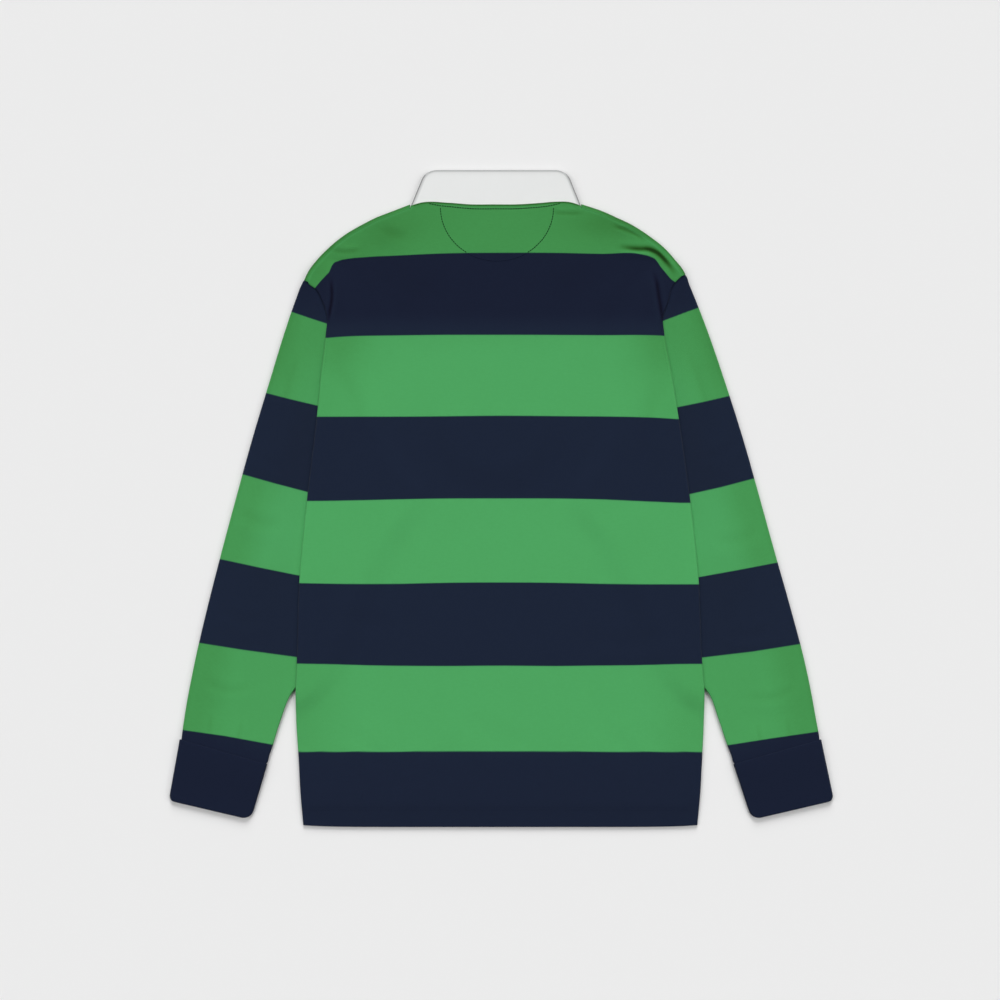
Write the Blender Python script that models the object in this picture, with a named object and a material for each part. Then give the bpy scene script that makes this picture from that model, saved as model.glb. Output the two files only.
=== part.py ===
"""A long-sleeved rugby shirt, laid out flat on its front with its back up.

Every piece is a hollow wall or a strip of cloth, cut and stacked as a maker would: the
front, the sleeves tucked between front and back at the sides, and the back on top.
Sizes are in millimetres and become metres as each mesh is made. A height is measured
from the hem towards the collar, a level upwards from the table, and left is the
wearer's left, at -X.
"""

import math

import bmesh
import bpy
import numpy as np


def table(columns, *rows):
    """The rows as one array for each named column."""
    return dict(zip(columns.split(), np.array(rows, float).T))


MM = 0.001
NEAR = 0.004            # step in share of a curve that its direction is read over
SIDES = {"left": -1, "right": 1}

# ------------------------------------------------------------------ driving sizes
ORIGIN_HEIGHT = 381.4   # from the hem to the origin, halfway to the collar's top
CLOTH = 1.2             # heavy jersey
SEAM = 0.3              # space between pieces at a seam
LOW = 3.4               # underside of the back where nothing lies beneath it
HIGH = 5.2              # underside of the back over sleeves, collar and placket
HEM_LOW = 1.8           # underside of the back at its hem
FULLNESS = 1.0          # extra rise of the back along its fold over a sleeve
SLEEVE_UNDER = 1.5      # underside of a sleeve where it lies on the front
SLEEVE_TUCKED_TOP = 4.9
SLEEVE_FREE_TOP = 4.2
HEAD_INSET = 2.2        # a sleeve's head lies this far inside the shoulder's fold
HEAD_SHARE = 0.045      # and reaches this share of the shoulder past its tip
SHOULDER_SEAM = 5.0     # the front runs this far over the shoulder's fold
LEAST_ROLL = 1.6        # least width of a rolled edge
FRONT_INSET = 2.0       # the front's edge lies this far inside the back's

# Where levels change, as the start and end of each slope.
SLEEVE_SLOPE = (-52.0, -18.0)   # the back rises towards a sleeve, past the sleeve's reach
COLLAR_REACH = (120.0, 88.0)    # half-axes of the high part round the collar
COLLAR_SLOPE = (1.0, 1.5)       # the back sinks again, in shares of that reach
PLACKET_SLOPE = (52.0, 92.0)    # and away from the line of buttons
SLEEVE_EXIT = (134.0, 160.0)    # height at which a sleeve comes out from under the back
HEM_SLOPE = (0.0, 34.0)
FULLNESS_TOP = (548.0, 588.0)
FULLNESS_WIDTH = (9.0, 41.0)
SLEEVE_DROP = (18.0, 38.0)      # a sleeve's underside meets the table, beside the body
SLEEVE_THINS = (4.0, 34.0)      # and its top comes down
CUFF_ENTRY = (0.93, 0.98)       # share of a sleeve at which it narrows into its cuff
CUFF_SLOPE = (0.1, 0.9)
TIP_BLEND = (595.0, 631.0)      # the front's inset ends towards the shoulder's tip
SHOULDER_TURN = (0.9, 1.0)      # share of a side at which insets turn along the shoulder

CUFF_SEAM_TOP = 6.0
CUFF_HEM_TOP = 4.6
CUFF_CORNER = 9.0       # round inner corner of the cuff

NECK_CENTRE = -6.5
NECK_HALF = 97.5
NECK_POINT = 724.0
COLLAR_CLOTH = 1.3
COLLAR_TUCK = 5.0       # reach of the collar's base under the neck edges
COLLAR_UNDER = 1.5      # underside of the collar's front
COLLAR_BEND = 1.05      # middle radius of the bends at the sides
COLLAR_TOP = 763.4
COLLAR_CORNER = 14.0
CORNER_BAND = 5.0       # width of cloth that a round corner draws in
COLLAR_LEAN = {"left": 16.2, "right": 15.7}
COLLAR_POINT = 682.0    # height of the collar's front corners
COLLAR_END_GAP = 1.2    # from the middle to each end of the collar

PLACKET_HALF = 16.0
PLACKET_FOOT = 446.0
UNDERLAP_EXTRA = 3.0
UNDERLAP_TUCK = 4.0     # reach of the underlap's foot under the front
BUTTON_THICK = 1.8
MOUND_SLOPE = (11.5, 21.5)  # the cloth over the buttons comes down, away from their line
BUTTON_HEIGHTS = (588.0, 531.0, 474.0)

PATCH_CLOTH = 1.0
PATCH_HALF = 65.5
PATCH_DROP = 61.0
PATCH_CENTRE = -5.2
PATCH_TOP = 718.5

# Distance of each edge from the middle of the shirt.
BODY_EDGE = table(
    "height left right",
    (0, 229.7, 226.8), (45, 232.6, 227.9), (80, 234.3, 231.0), (125, 237.2, 232.8),
    (160, 238.4, 233.7), (190, 237.4, 232.0), (288, 234.3, 228.5), (385, 225.0, 218.1),
    (483, 213.4, 204.2), (525, 209.5, 197.5), (573, 203.6, 188.7), (592, 202.4, 187.3),
    (612, 208.2, 193.6), (630, 217.5, 201.8), (639.5, 226.0, 209.6),
)
SHOULDER = table(
    "height left right",
    (639.5, 229.0, 212.6), (645, 225.0, 210.3), (659, 215.0, 200.5), (673, 201.0, 188.0),
    (687, 184.5, 169.8), (701, 160.5, 149.8), (715, 126.0, 119.5), (723, 107.4, 94.6),
)
SLEEVE_OUTER = table(
    "height left right",
    (631, 231.6, 217.3), (612, 238.8, 223.9), (580, 250.0, 236.1), (515, 269.7, 259.3),
    (450, 288.3, 279.0), (385, 306.8, 298.7), (320, 324.2, 314.9), (255, 340.5, 333.5),
    (190, 355.5, 350.9), (125, 368.3, 363.7), (103, 371.2, 368.2), (93.5, 372.2, 369.8),
)
SLEEVE_INNER = table(
    "height left right",
    (392, 131.7, 122.4), (320, 167.0, 158.5), (240, 204.5, 199.0), (166, 237.0, 233.0),
    (158, 244.5, 240.3), (125, 258.1, 253.5), (93, 268.5, 264.4), (84, 272.2, 268.4),
    (74, 276.0, 272.6), (67.5, 278.3, 275.2),
)
# The armhole end of a sleeve, from the shoulder down to the underarm.
SLEEVE_MOUTH = table(
    "height left right",
    (640, 222.0, 206.5), (615, 206.0, 191.0), (592, 197.0, 182.0), (530, 190.0, 175.5),
    (470, 180.0, 168.0), (420, 158.0, 148.0), (392, 131.7, 122.4),
)
# How far in a sleeve reaches under the back.
SLEEVE_REACH = table(
    "height left right",
    (112, 300.0, 296.0), (166, 237.0, 233.0), (240, 204.5, 199.0), (320, 167.0, 158.5),
    (392, 131.7, 122.4), (420, 150.0, 141.0), (470, 180.0, 168.0), (530, 190.0, 175.5),
    (592, 197.0, 182.0), (640, 222.0, 207.0), (665, 250.0, 236.0), (700, 300.0, 290.0),
)
# Corners of a cuff: seam and hem on its outer fold, hem and seam on its inner one.
CUFF = table(
    "height left right",
    (99.8, 373.8, 371.2), (34.8, 383.4, 383.4), (9.9, 292.0, 289.8), (74.0, 273.2, 270.2),
)
BACK_NECK = table(
    "across height",
    (-104.0, 722.6), (-94.0, 725.8), (-60.0, 726.4), (-37.0, 724.2), (-8.0, 723.8),
    (20.0, 724.0), (45.0, 726.0), (62.0, 727.0), (81.0, 726.2), (91.0, 722.6),
)
THROAT = 617.0          # height of the front's neckline at its middle
FRONT_NECK = table(
    "share height",
    (0.0, THROAT), (0.17, 617.4), (0.34, 624.5), (0.64, 650.0), (0.88, 689.0), (1.0, 722.0),
)


# ------------------------------------------------------------------ curves
class Curve:
    """A smooth curve through points, level beyond its ends."""

    def __init__(self, xs, ys):
        order = np.argsort(xs)
        self.xs = np.asarray(xs, float)[order]
        self.ys = np.asarray(ys, float)[order]
        self.slopes = np.gradient(self.ys, self.xs)

    def __call__(self, x):
        k = min(max(int(np.searchsorted(self.xs, x)) - 1, 0), len(self.xs) - 2)
        span = self.xs[k + 1] - self.xs[k]
        t = min(max((x - self.xs[k]) / span, 0.0), 1.0)
        start = (1 + 2 * t) * self.ys[k] + t * span * self.slopes[k]
        end = (3 - 2 * t) * self.ys[k + 1] + (t - 1) * span * self.slopes[k + 1]
        return (1 - t) ** 2 * start + t * t * end


def square_to(run):
    """The unit vector square to a run, on its left."""
    return np.array([-run[1], run[0]]) / np.hypot(*run)


class Path:
    """A smooth plan curve through points, read by its share of the length."""

    def __init__(self, points):
        points = np.array(points, float)
        steps = np.hypot(*np.diff(points, axis=0).T)
        shares = np.concatenate([[0.0], np.cumsum(steps)]) / steps.sum()
        self.length = steps.sum()
        self.across = Curve(shares, points[:, 0])
        self.along = Curve(shares, points[:, 1])

    def __call__(self, share):
        return np.array([self.across(share), self.along(share)])

    def normal(self, share):
        """The unit normal on the left of the run."""
        return square_to(self(min(share + NEAR, 1.0)) - self(max(share - NEAR, 0.0)))


def edge_curves(rows):
    return {side: Curve(rows["height"], sign * rows[side]) for side, sign in SIDES.items()}


def edge_points(rows, side):
    return list(zip(SIDES[side] * rows[side], rows["height"]))


def ramp(value, ends):
    """0 up to the first end, 1 from the second, and smooth between."""
    t = min(max((value - ends[0]) / (ends[1] - ends[0]), 0.0), 1.0)
    return t * t * (3 - 2 * t)


def mix(a, b, share):
    return a + (b - a) * share


def patch_point(left, right, bottom, top, u, v, fade=1):
    """A point of the four-sided plan patch between four curves that meet at its corners.

    The left and right curves' bows die away over the patch, the faster for a high fade.
    """
    left_bow = left(v) - mix(left(0.0), left(1.0), v)
    right_bow = right(v) - mix(right(0.0), right(1.0), v)
    return mix(bottom(u), top(u), v) + (1 - u) ** fade * left_bow + u ** fade * right_bow


BODY_SIDES = edge_curves(BODY_EDGE)
REACHES = edge_curves(SLEEVE_REACH)
BACK_NECK_EDGE = Curve(BACK_NECK["across"], BACK_NECK["height"])
FRONT_NECK_EDGE = Curve(FRONT_NECK["share"], FRONT_NECK["height"])
SHOULDERS = {side: Path(edge_points(SHOULDER, side)) for side in SIDES}


# ------------------------------------------------------------------ how high the cloth lies
def placket_distance(x, height):
    """Distance from the line of buttons."""
    along = min(max(height, BUTTON_HEIGHTS[-1]), BUTTON_HEIGHTS[0])
    return math.hypot(x - NECK_CENTRE, height - along)


def front_under(x, height):
    """Underside of the front: flat, but raised over the buttons beneath it."""
    rise = BUTTON_THICK + SEAM
    return rise * (1 - ramp(placket_distance(x, height), MOUND_SLOPE))


def side_of(x):
    return "left" if x < 0 else "right"


def cover(x, height):
    """1 where the back is held up by what lies beneath it, 0 where it sinks."""
    beyond = abs(x) - abs(REACHES[side_of(x)](height))
    over_sleeve = ramp(beyond, SLEEVE_SLOPE)
    neck = math.hypot((x - NECK_CENTRE) / COLLAR_REACH[0],
                      (height - NECK_POINT) / COLLAR_REACH[1])
    over_collar = 1 - ramp(neck, COLLAR_SLOPE)
    over_placket = 1 - ramp(placket_distance(x, height), PLACKET_SLOPE)
    return 1 - (1 - over_sleeve) * (1 - over_collar) * (1 - over_placket)


def on_sleeve(height):
    """0 below the place where a sleeve comes out from under the back, 1 above it."""
    return ramp(height, SLEEVE_EXIT)


def low_under(height):
    return mix(HEM_LOW, LOW, ramp(height, HEM_SLOPE))


def back_under(x, height):
    """Underside of the back."""
    inside = abs(BODY_SIDES[side_of(x)](height)) - abs(x)
    full = (on_sleeve(height) * (1 - ramp(height, FULLNESS_TOP))
            * (1 - ramp(inside, FULLNESS_WIDTH)))
    return mix(low_under(height), HIGH, cover(x, height)) + FULLNESS * full


def side_seam(height):
    """Level of the side seam, halfway up the lower body."""
    return (low_under(height) + CLOTH) / 2


# ------------------------------------------------------------------ meshes
SHARP = math.radians(40)


def material(name, colour, roughness):
    made = bpy.data.materials.new(name)
    made.use_nodes = True
    shader = made.node_tree.nodes["Principled BSDF"]
    shader.inputs["Base Color"].default_value = (*colour, 1.0)
    shader.inputs["Roughness"].default_value = roughness
    shader.inputs["Metallic"].default_value = 0.0
    return made


def wall(name, finish, outer, inner, ring=False, kept=None):
    """One closed wall between two grids of points (across, height, level).

    In a ring each row closes on itself. kept(row, column) says which cells it has.
    """
    columns = len(outer[0])
    shape = bmesh.new()
    made = {}
    rims = set()

    def corner(face, place):
        key = (face, place)
        if key not in made:
            x, height, level = (outer, inner)[face][place[0]][place[1]]
            made[key] = shape.verts.new((x * MM, (height - ORIGIN_HEIGHT) * MM, level * MM))
        return made[key]

    for i in range(len(outer) - 1):
        for j in range(columns if ring else columns - 1):
            if kept and not kept(i, j):
                continue
            after = (j + 1) % columns
            cell = ((i, j), (i, after), (i + 1, after), (i + 1, j))
            shape.faces.new([corner(0, place) for place in cell])
            shape.faces.new([corner(1, cell[k]) for k in (0, 3, 2, 1)])
            for start, end in zip(cell, cell[1:] + cell[:1]):
                if (end, start) in rims:
                    rims.remove((end, start))
                else:
                    rims.add((start, end))
    for start, end in sorted(rims):
        rim = (corner(0, end), corner(0, start), corner(1, start), corner(1, end))
        shape.faces.new(rim)
    bmesh.ops.recalc_face_normals(shape, faces=shape.faces)
    mesh = bpy.data.meshes.new(name)
    shape.to_mesh(mesh)
    shape.free()
    mesh.materials.append(finish)
    mesh.shade_smooth()
    mesh.set_sharp_from_angle(angle=SHARP)
    piece = bpy.data.objects.new(name, mesh)
    bpy.context.scene.collection.objects.link(piece)
    return piece


# ------------------------------------------------------------------ body panels
NECK_START = 0.275      # shares of the width where the shoulders end
NECK_END = 0.705
NECK_STEP = 0.007       # from the end of a shoulder to the neck edge
ROLL_TURNS = tuple(math.radians(turn) for turn in (0, 36, 64))
WRAP_TURNS = tuple(math.radians(36 * k) for k in range(1, 6))
BOW_FADE = 5            # how fast the armhole's bow dies away across a panel
FLAT_START = 0.3        # how far in, in cloths, the front's upper face starts where it is flat
BACK_SHARES = (0, 0.014, 0.034, 0.07, 0.122, 0.169, 0.21, 0.23, 0.25, 0.278, 0.328, 0.394,
               0.469, 0.544, 0.619, 0.688, 0.757, 0.82, 0.87, 0.9, 0.926, 0.943, 0.962,
               0.981, 1)
SHOULDER_SHARES = (0.0, 0.04, 0.1, 0.24, 0.4, 0.58, 0.78, 1.0)
BACK_NECK_PLACES = (-1, -0.86, -0.62, -0.36, -0.1, 0.14, 0.4, 0.64, 0.87, 1)
# Places on each side of the placket, and rows by height at the middle of the front.
FRONT_NECK_SIZES = (PLACKET_HALF, PLACKET_HALF + UNDERLAP_EXTRA, 24.0, 36.0, 52.0, 68.0,
                    82.0, 91.5, NECK_HALF)
FRONT_HEIGHTS = (0, 9, 22, 60, 104, 130, 142, 155, 180, 235, 300, 370, 420, PLACKET_FOOT,
                 452.5, 458.5, 464.5, 505, 545, 575, 597.5, 603.5, 609.5, THROAT)


def neck_share(place):
    """Share of the width for a place across the neck, from -1 to 1."""
    return mix(NECK_START + NECK_STEP, NECK_END - NECK_STEP, (place + 1) / 2)


def panel_columns(neck_places):
    left = [share * NECK_START for share in SHOULDER_SHARES]
    right = [1 - share * (1 - NECK_END) for share in reversed(SHOULDER_SHARES)]
    return left + [neck_share(place) for place in neck_places] + right


def shoulder_point(side, share, inset):
    """A point on the shoulder, moved in from its fold."""
    path = SHOULDERS[side]
    return path(share) + inset * SIDES[side] * path.normal(share)


class Panel:
    """The plan of the back or the front, between its rolled side edges."""

    def __init__(self, shoulder_inset, neck, roll, side_inset):
        self.shoulder_inset = shoulder_inset
        self.neck = neck
        self.roll = roll
        self.side_inset = side_inset
        self.sides = {side: self.side_path(side) for side in SIDES}

    def side_path(self, side):
        """The side edge and armhole, ending at the shoulder's corner."""
        points = edge_points(BODY_EDGE, side)[:-1]
        corner = shoulder_point(side, 0.0, self.shoulder_inset(side, 0.0))
        return Curve([p[1] for p in points] + [corner[1]], [p[0] for p in points] + [corner[0]])

    def side(self, side, v, extra):
        """A point of the side at share v of its height, moved in.

        Towards the shoulder it moves along the shoulder instead of square to the side.
        """
        curve = self.sides[side]
        top = curve.xs[-1]
        height = v * top
        low, high = max(v - NEAR, 0.0) * top, min(v + NEAR, 1.0) * top
        square = SIDES[side] * square_to(np.array([curve(high) - curve(low), high - low]))
        shoulder = SHOULDERS[side](NEAR) - SHOULDERS[side](0.0)
        inward = mix(square, shoulder / np.hypot(*shoulder), ramp(v, SHOULDER_TURN))
        inward = inward / np.hypot(*inward)
        return np.array([curve(height), height]) + (self.side_inset(height) + extra) * inward

    def inner_side(self, side):
        top = self.sides[side].xs[-1]
        return lambda v: self.side(side, v, self.roll(v * top))

    def shoulder_share(self, u):
        """The shoulder that a column runs into, and how far along it from the tip."""
        side = "left" if u < 0.5 else "right"
        share = u / NECK_START if u < 0.5 else (1 - u) / (1 - NECK_END)
        top = self.sides[side].xs[-1]
        start = (self.side_inset(top) + self.roll(top)) / SHOULDERS[side].length
        return side, min(mix(start, 1.0, share), 1.0)

    def top(self, u):
        """The upper edge: shoulder, neck, shoulder."""
        place = 2 * (u - neck_share(-1)) / (neck_share(1) - neck_share(-1)) - 1
        if abs(place) < 1 + 1e-6:
            return self.neck(place)
        side, share = self.shoulder_share(u)
        return shoulder_point(side, share, self.shoulder_inset(side, share))

    def bottom(self, u):
        return mix(self.inner_side("left")(0.0), self.inner_side("right")(0.0), u)

    def at(self, u, v):
        sides = [self.inner_side(side) for side in SIDES]
        return patch_point(*sides, self.bottom, self.top, u, v, BOW_FADE)

    def row(self, v, columns, level, rim):
        """One row of points: rolled edge, patch, rolled edge.

        level(x, height) is the surface. rim(height) is the level of the edge, and how
        far in from it this face of the wall starts.
        """
        points = [(*place, level(*place)) for place in (self.at(u, v) for u in columns)]
        ends = []
        for side, near in (("left", points[0]), ("right", points[-1])):
            inside = np.array(near[:2])
            outside = self.side(side, v, 0.0)
            width = np.hypot(*(outside - inside))
            edge_level, start = rim(outside[1])
            roll = []
            for turn in ROLL_TURNS:
                away = (width - start) * math.cos(turn) / width
                place = mix(inside, outside, away)
                roll.append((*place, mix(edge_level, near[2], math.sin(turn))))
            ends.append(roll)
        return ends[0] + points + ends[1][::-1]


def back_edge_level(height):
    """Level of the back's side edge: on the side seam low down, then on the sleeve."""
    return mix(side_seam(height) + SEAM / 2, HIGH, on_sleeve(height))


def back_roll(height):
    x = BODY_SIDES["left"](height) + LEAST_ROLL
    return max(back_under(x, height) + CLOTH - back_edge_level(height), LEAST_ROLL)


def back_neck(place):
    x = NECK_CENTRE + place * NECK_HALF
    return np.array([x, BACK_NECK_EDGE(x)])


def build_back(finish):
    panel = Panel(lambda side, share: SHOULDER_SEAM + SEAM, back_neck, back_roll,
                  lambda height: 0.0)
    columns = panel_columns(BACK_NECK_PLACES)
    faces = []
    for depth in (0.0, CLOTH):
        def level(x, height, depth=depth):
            return back_under(x, height) + CLOTH - depth

        def rim(height, depth=depth):
            return back_edge_level(height), depth

        faces.append([panel.row(v, columns, level, rim) for v in BACK_SHARES])
    return wall("back_panel", finish, *faces)


def shoulder_top(side, share):
    """Level of the shirt's top along the shoulder."""
    return back_under(*shoulder_point(side, share, SHOULDER_SEAM)) + CLOTH


def front_neck(place):
    return np.array([NECK_CENTRE + place * NECK_HALF, FRONT_NECK_EDGE(abs(place))])


def front_panel_plan():
    return Panel(lambda side, share: shoulder_top(side, share) / 2, front_neck,
                 lambda height: LEAST_ROLL,
                 lambda height: FRONT_INSET * on_sleeve(height) * (1 - ramp(height, TIP_BLEND)))


def build_front(finish):
    panel = front_panel_plan()
    places = [size / NECK_HALF for size in FRONT_NECK_SIZES]
    columns = panel_columns([-place for place in reversed(places)] + places)
    faces = []
    for depth in (0.0, CLOTH):
        def level(x, height, depth=depth):
            return front_under(x, height) + depth

        def rim(height, depth=depth):
            flat = on_sleeve(height)
            start = depth * mix(1.0, FLAT_START, flat)
            return mix(side_seam(height) - SEAM / 2, depth, flat), start

        grid = [panel.row(height / THROAT, columns, level, rim) for height in FRONT_HEIGHTS]
        grid += shoulder_wrap(panel, grid[-1], columns, depth)
        faces.append(grid)
    shoulder = len(ROLL_TURNS) + len(SHOULDER_SHARES)
    half = shoulder + len(places)

    def kept(i, j):
        if i >= len(FRONT_HEIGHTS) - 1:
            return j < shoulder - 1 or j >= 2 * half - shoulder
        return FRONT_HEIGHTS[i] < PLACKET_FOOT or j != half - 1

    return wall("front_panel", finish, *faces, kept=kept)


def shoulder_wrap(panel, edge_row, columns, depth):
    """Rows that carry the front over the shoulder's fold to its seam."""
    count = len(ROLL_TURNS)
    rows = [[] for _ in range(len(WRAP_TURNS) + 1)]
    for j, (x, height, _) in enumerate(edge_row):
        u = columns[min(max(j - count, 0), len(columns) - 1)]
        side, share = panel.shoulder_share(u)
        out = -SIDES[side] * SHOULDERS[side].normal(share)
        half = shoulder_top(side, share) / 2
        start = np.array([x, height])
        for row, turn in zip(rows, WRAP_TURNS):
            away = start + out * (half - depth) * math.sin(turn)
            row.append((*away, half - (half - depth) * math.cos(turn)))
        rows[-1].append((*(start - out * (SHOULDER_SEAM - half)), 2 * half - depth))
    return rows


# ------------------------------------------------------------------ sleeves and cuffs
TUBE_TURNS = tuple(math.radians(turn) for turn in (-90, -45, 0, 45, 90))
TUBE_ACROSS = (0.12, 0.3, 0.5, 0.7, 0.88)
SLEEVE_ROWS = (0, 0.019, 0.04, 0.08, 0.13, 0.18, 0.23, 0.28, 0.335, 0.39, 0.45, 0.51, 0.57,
               0.63, 0.69, 0.75, 0.81, 0.87, 0.92, 0.96, 0.985, 1)
CUFF_ROWS = (0, 0.12, 0.35, 0.6, 0.8, 0.92, 1)


def tube_row(outer, inner, across, v, levels, depth):
    """One ring of a flat tube between an outer and an inner fold.

    across(u, v) is the plan between the folds, and levels(place, v) the tube's
    underside and top. depth is how far this face lies inside the tube.
    """
    def round_fold(path, turns):
        fold, out = path(v)
        under, top = levels(fold, v)
        half = (top - under) / 2
        return [(*(fold - out * (half - (half - depth) * math.cos(turn))),
                 under + half + (half - depth) * math.sin(turn)) for turn in turns]

    places = [across(u, v) for u in TUBE_ACROSS]
    over = [(*place, levels(place, v)[1] - depth) for place in places]
    beneath = [(*place, levels(place, v)[0] + depth) for place in reversed(places)]
    return (round_fold(outer, TUBE_TURNS) + over
            + round_fold(inner, reversed(TUBE_TURNS)) + beneath)


def fold_path(points, side, inward):
    """A function of v giving a fold's point and its normal out of the tube."""
    path = Path(points)
    sign = SIDES[side] * (1 if inward else -1)

    def at(v):
        return path(v), -sign * path.normal(v)

    return at


def inside_fold(fold, levels):
    """A fold's curve moved in by half the tube's height, where its flat part starts."""
    def at(v):
        point, out = fold(v)
        under, top = levels(point, v)
        return point - out * (top - under) / 2

    return at


def sleeve_levels(side):
    body = BODY_SIDES[side]

    def levels(point, v):
        """Underside and top: raised on the front, down beside it, then in the cuff."""
        beside = abs(point[0]) - abs(body(point[1]))
        under = SLEEVE_UNDER * (1 - ramp(beside, SLEEVE_DROP))
        top = mix(SLEEVE_TUCKED_TOP, SLEEVE_FREE_TOP, ramp(beside, SLEEVE_THINS))
        end = ramp(v, CUFF_ENTRY)
        return mix(under, CLOTH + SEAM, end), mix(top, CUFF_SEAM_TOP - CLOTH - SEAM, end)

    return levels


def ends_joined(curve, start, end):
    """The curve moved so that it runs from start to end."""
    return lambda u: curve(u) + (1 - u) * (start - curve(0.0)) + u * (end - curve(1.0))


def build_sleeve(side, finish):
    head = [shoulder_point(side, share, HEAD_INSET) for share in (HEAD_SHARE, 0.0)]
    outer = fold_path(head + edge_points(SLEEVE_OUTER, side), side, False)
    inner = fold_path(edge_points(SLEEVE_INNER, side), side, True)
    levels = sleeve_levels(side)
    outer_in = inside_fold(outer, levels)
    inner_in = inside_fold(inner, levels)
    mouth = ends_joined(Path(edge_points(SLEEVE_MOUTH, side)), outer_in(0.0), inner_in(0.0))

    def cuff_line(u):
        return mix(outer_in(1.0), inner_in(1.0), u)

    def across(u, v):
        # The patch's own left and right are the mouth and the cuff's line.
        return patch_point(mouth, cuff_line, outer_in, inner_in, v, u)

    faces = [[tube_row(outer, inner, across, v, levels, depth) for v in SLEEVE_ROWS]
             for depth in (0.0, CLOTH)]
    return wall("sleeve_" + side, finish, *faces, ring=True)


def build_cuff(side, finish):
    seam_outer, hem_outer, hem_inner, seam_inner = (
        np.array(point) for point in edge_points(CUFF, side))
    up = (seam_inner - hem_inner) / np.hypot(*(seam_inner - hem_inner))
    along = (hem_outer - hem_inner) / np.hypot(*(hem_outer - hem_inner))
    round_end = hem_inner + CUFF_CORNER * up

    def levels(_, v):
        return 0.0, mix(CUFF_SEAM_TOP, CUFF_HEM_TOP, ramp(v, CUFF_SLOPE))

    def outer(v):
        down = hem_outer - seam_outer
        return mix(seam_outer, hem_outer, v), SIDES[side] * square_to(down)

    def inner(v):
        return mix(seam_inner, round_end, v), SIDES[side] * square_to(up)

    outer_in = inside_fold(outer, levels)
    inner_in = inside_fold(inner, levels)

    def seam(u):
        return mix(outer_in(0.0), inner_in(0.0), u)

    def hem(u):
        start, end = outer_in(1.0), inner_in(1.0)
        corner = end - CUFF_CORNER * up
        length = np.hypot(*(start - corner))
        from_corner = (1 - u) * length
        rise = 0.0
        if from_corner < CUFF_CORNER:
            short = CUFF_CORNER - from_corner
            rise = CUFF_CORNER - math.sqrt(CUFF_CORNER ** 2 - short ** 2)
        return corner + along * from_corner + up * rise

    def across(u, v):
        return patch_point(seam, hem, outer_in, inner_in, v, u)

    faces = [[tube_row(outer, inner, across, v, levels, depth) for v in CUFF_ROWS]
             for depth in (0.0, CLOTH)]
    return wall("cuff_" + side, finish, *faces, ring=True)


# ------------------------------------------------------------------ collar
BEND_TURNS = tuple(math.radians(turn) for turn in (-90, -45, 0, 45, 90))
COLLAR_LEVELS = (0.0, 0.3, 0.56, 0.78, 0.9, 1.0)
COLLAR_BACK_PLACES = (0.07, 0.2, 0.4, 0.6, 0.8, 0.93)
COLLAR_FRONT_PLACES = (1.0, 0.75, 0.5, 0.28, 0.1)
BASE_BLEND = (0.0, 0.2)     # the base leaves the foot of the side bend


class Crease:
    """One side bend of the collar, along a line that leans in towards the top."""

    def __init__(self, side):
        self.side = side
        across = NECK_CENTRE + SIDES[side] * NECK_HALF
        self.foot = np.array([across, NECK_POINT])
        self.corner = np.array([across - SIDES[side] * COLLAR_LEAN[side], COLLAR_TOP])
        run = (self.corner - self.foot) / np.hypot(*(self.corner - self.foot))
        self.foot = self.foot - run * COLLAR_TUCK
        self.inward = SIDES[side] * square_to(run)
        tilt = math.atan2(abs(run[0]), run[1])
        self.half_angle = (math.pi / 2 + tilt) / 2
        middle = np.array([self.inward[0], 0.0]) / abs(self.inward[0]) - run
        middle = middle / np.hypot(*middle)
        self.centre = self.corner + middle * COLLAR_CORNER / math.sin(self.half_angle)
        self.middle = -middle

    def rounded(self, point):
        """A plan point near the top corner, drawn in to its round outline."""
        off = point - self.centre
        reach = np.hypot(*off)
        band = COLLAR_CORNER - CORNER_BAND
        if reach <= band:
            return point
        angle = math.acos(min(max(off @ self.middle / reach, -1.0), 1.0))
        wedge = math.pi / 2 - self.half_angle
        if angle >= wedge:
            return point
        limit = COLLAR_CORNER / math.cos(wedge - angle)
        share = (reach - band) / (limit - band)
        return self.centre + off / reach * (band + share * (COLLAR_CORNER - band))


def collar_stations(side):
    """The collar's stations from its front end to the middle of the back on one side.

    Each is its foot and top in plan, and its turn round the bend.
    """
    crease = Crease(side)
    sign = SIDES[side]
    width = COLLAR_BEND + COLLAR_CLOTH / 2
    foot = crease.foot + crease.inward * width
    corner = crease.corner + crease.inward * width
    end_x = NECK_CENTRE + sign * COLLAR_END_GAP
    front = []
    for place in COLLAR_FRONT_PLACES:
        share = mix(1.0, COLLAR_END_GAP / NECK_HALF, place)
        neck = front_neck(sign * share)
        run = front_neck(sign * min(share + NEAR, 1.0)) - front_neck(sign * (share - NEAR))
        base = mix(foot, neck - sign * square_to(run) * COLLAR_TUCK, ramp(place, BASE_BLEND))
        if place == 1.0:
            base[0] = end_x
        top = mix(corner, np.array([end_x, COLLAR_POINT]), place)
        front.append((base, top, -math.pi / 2))
    bend = [(foot, corner, turn) for turn in BEND_TURNS]
    return crease, front + bend


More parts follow.
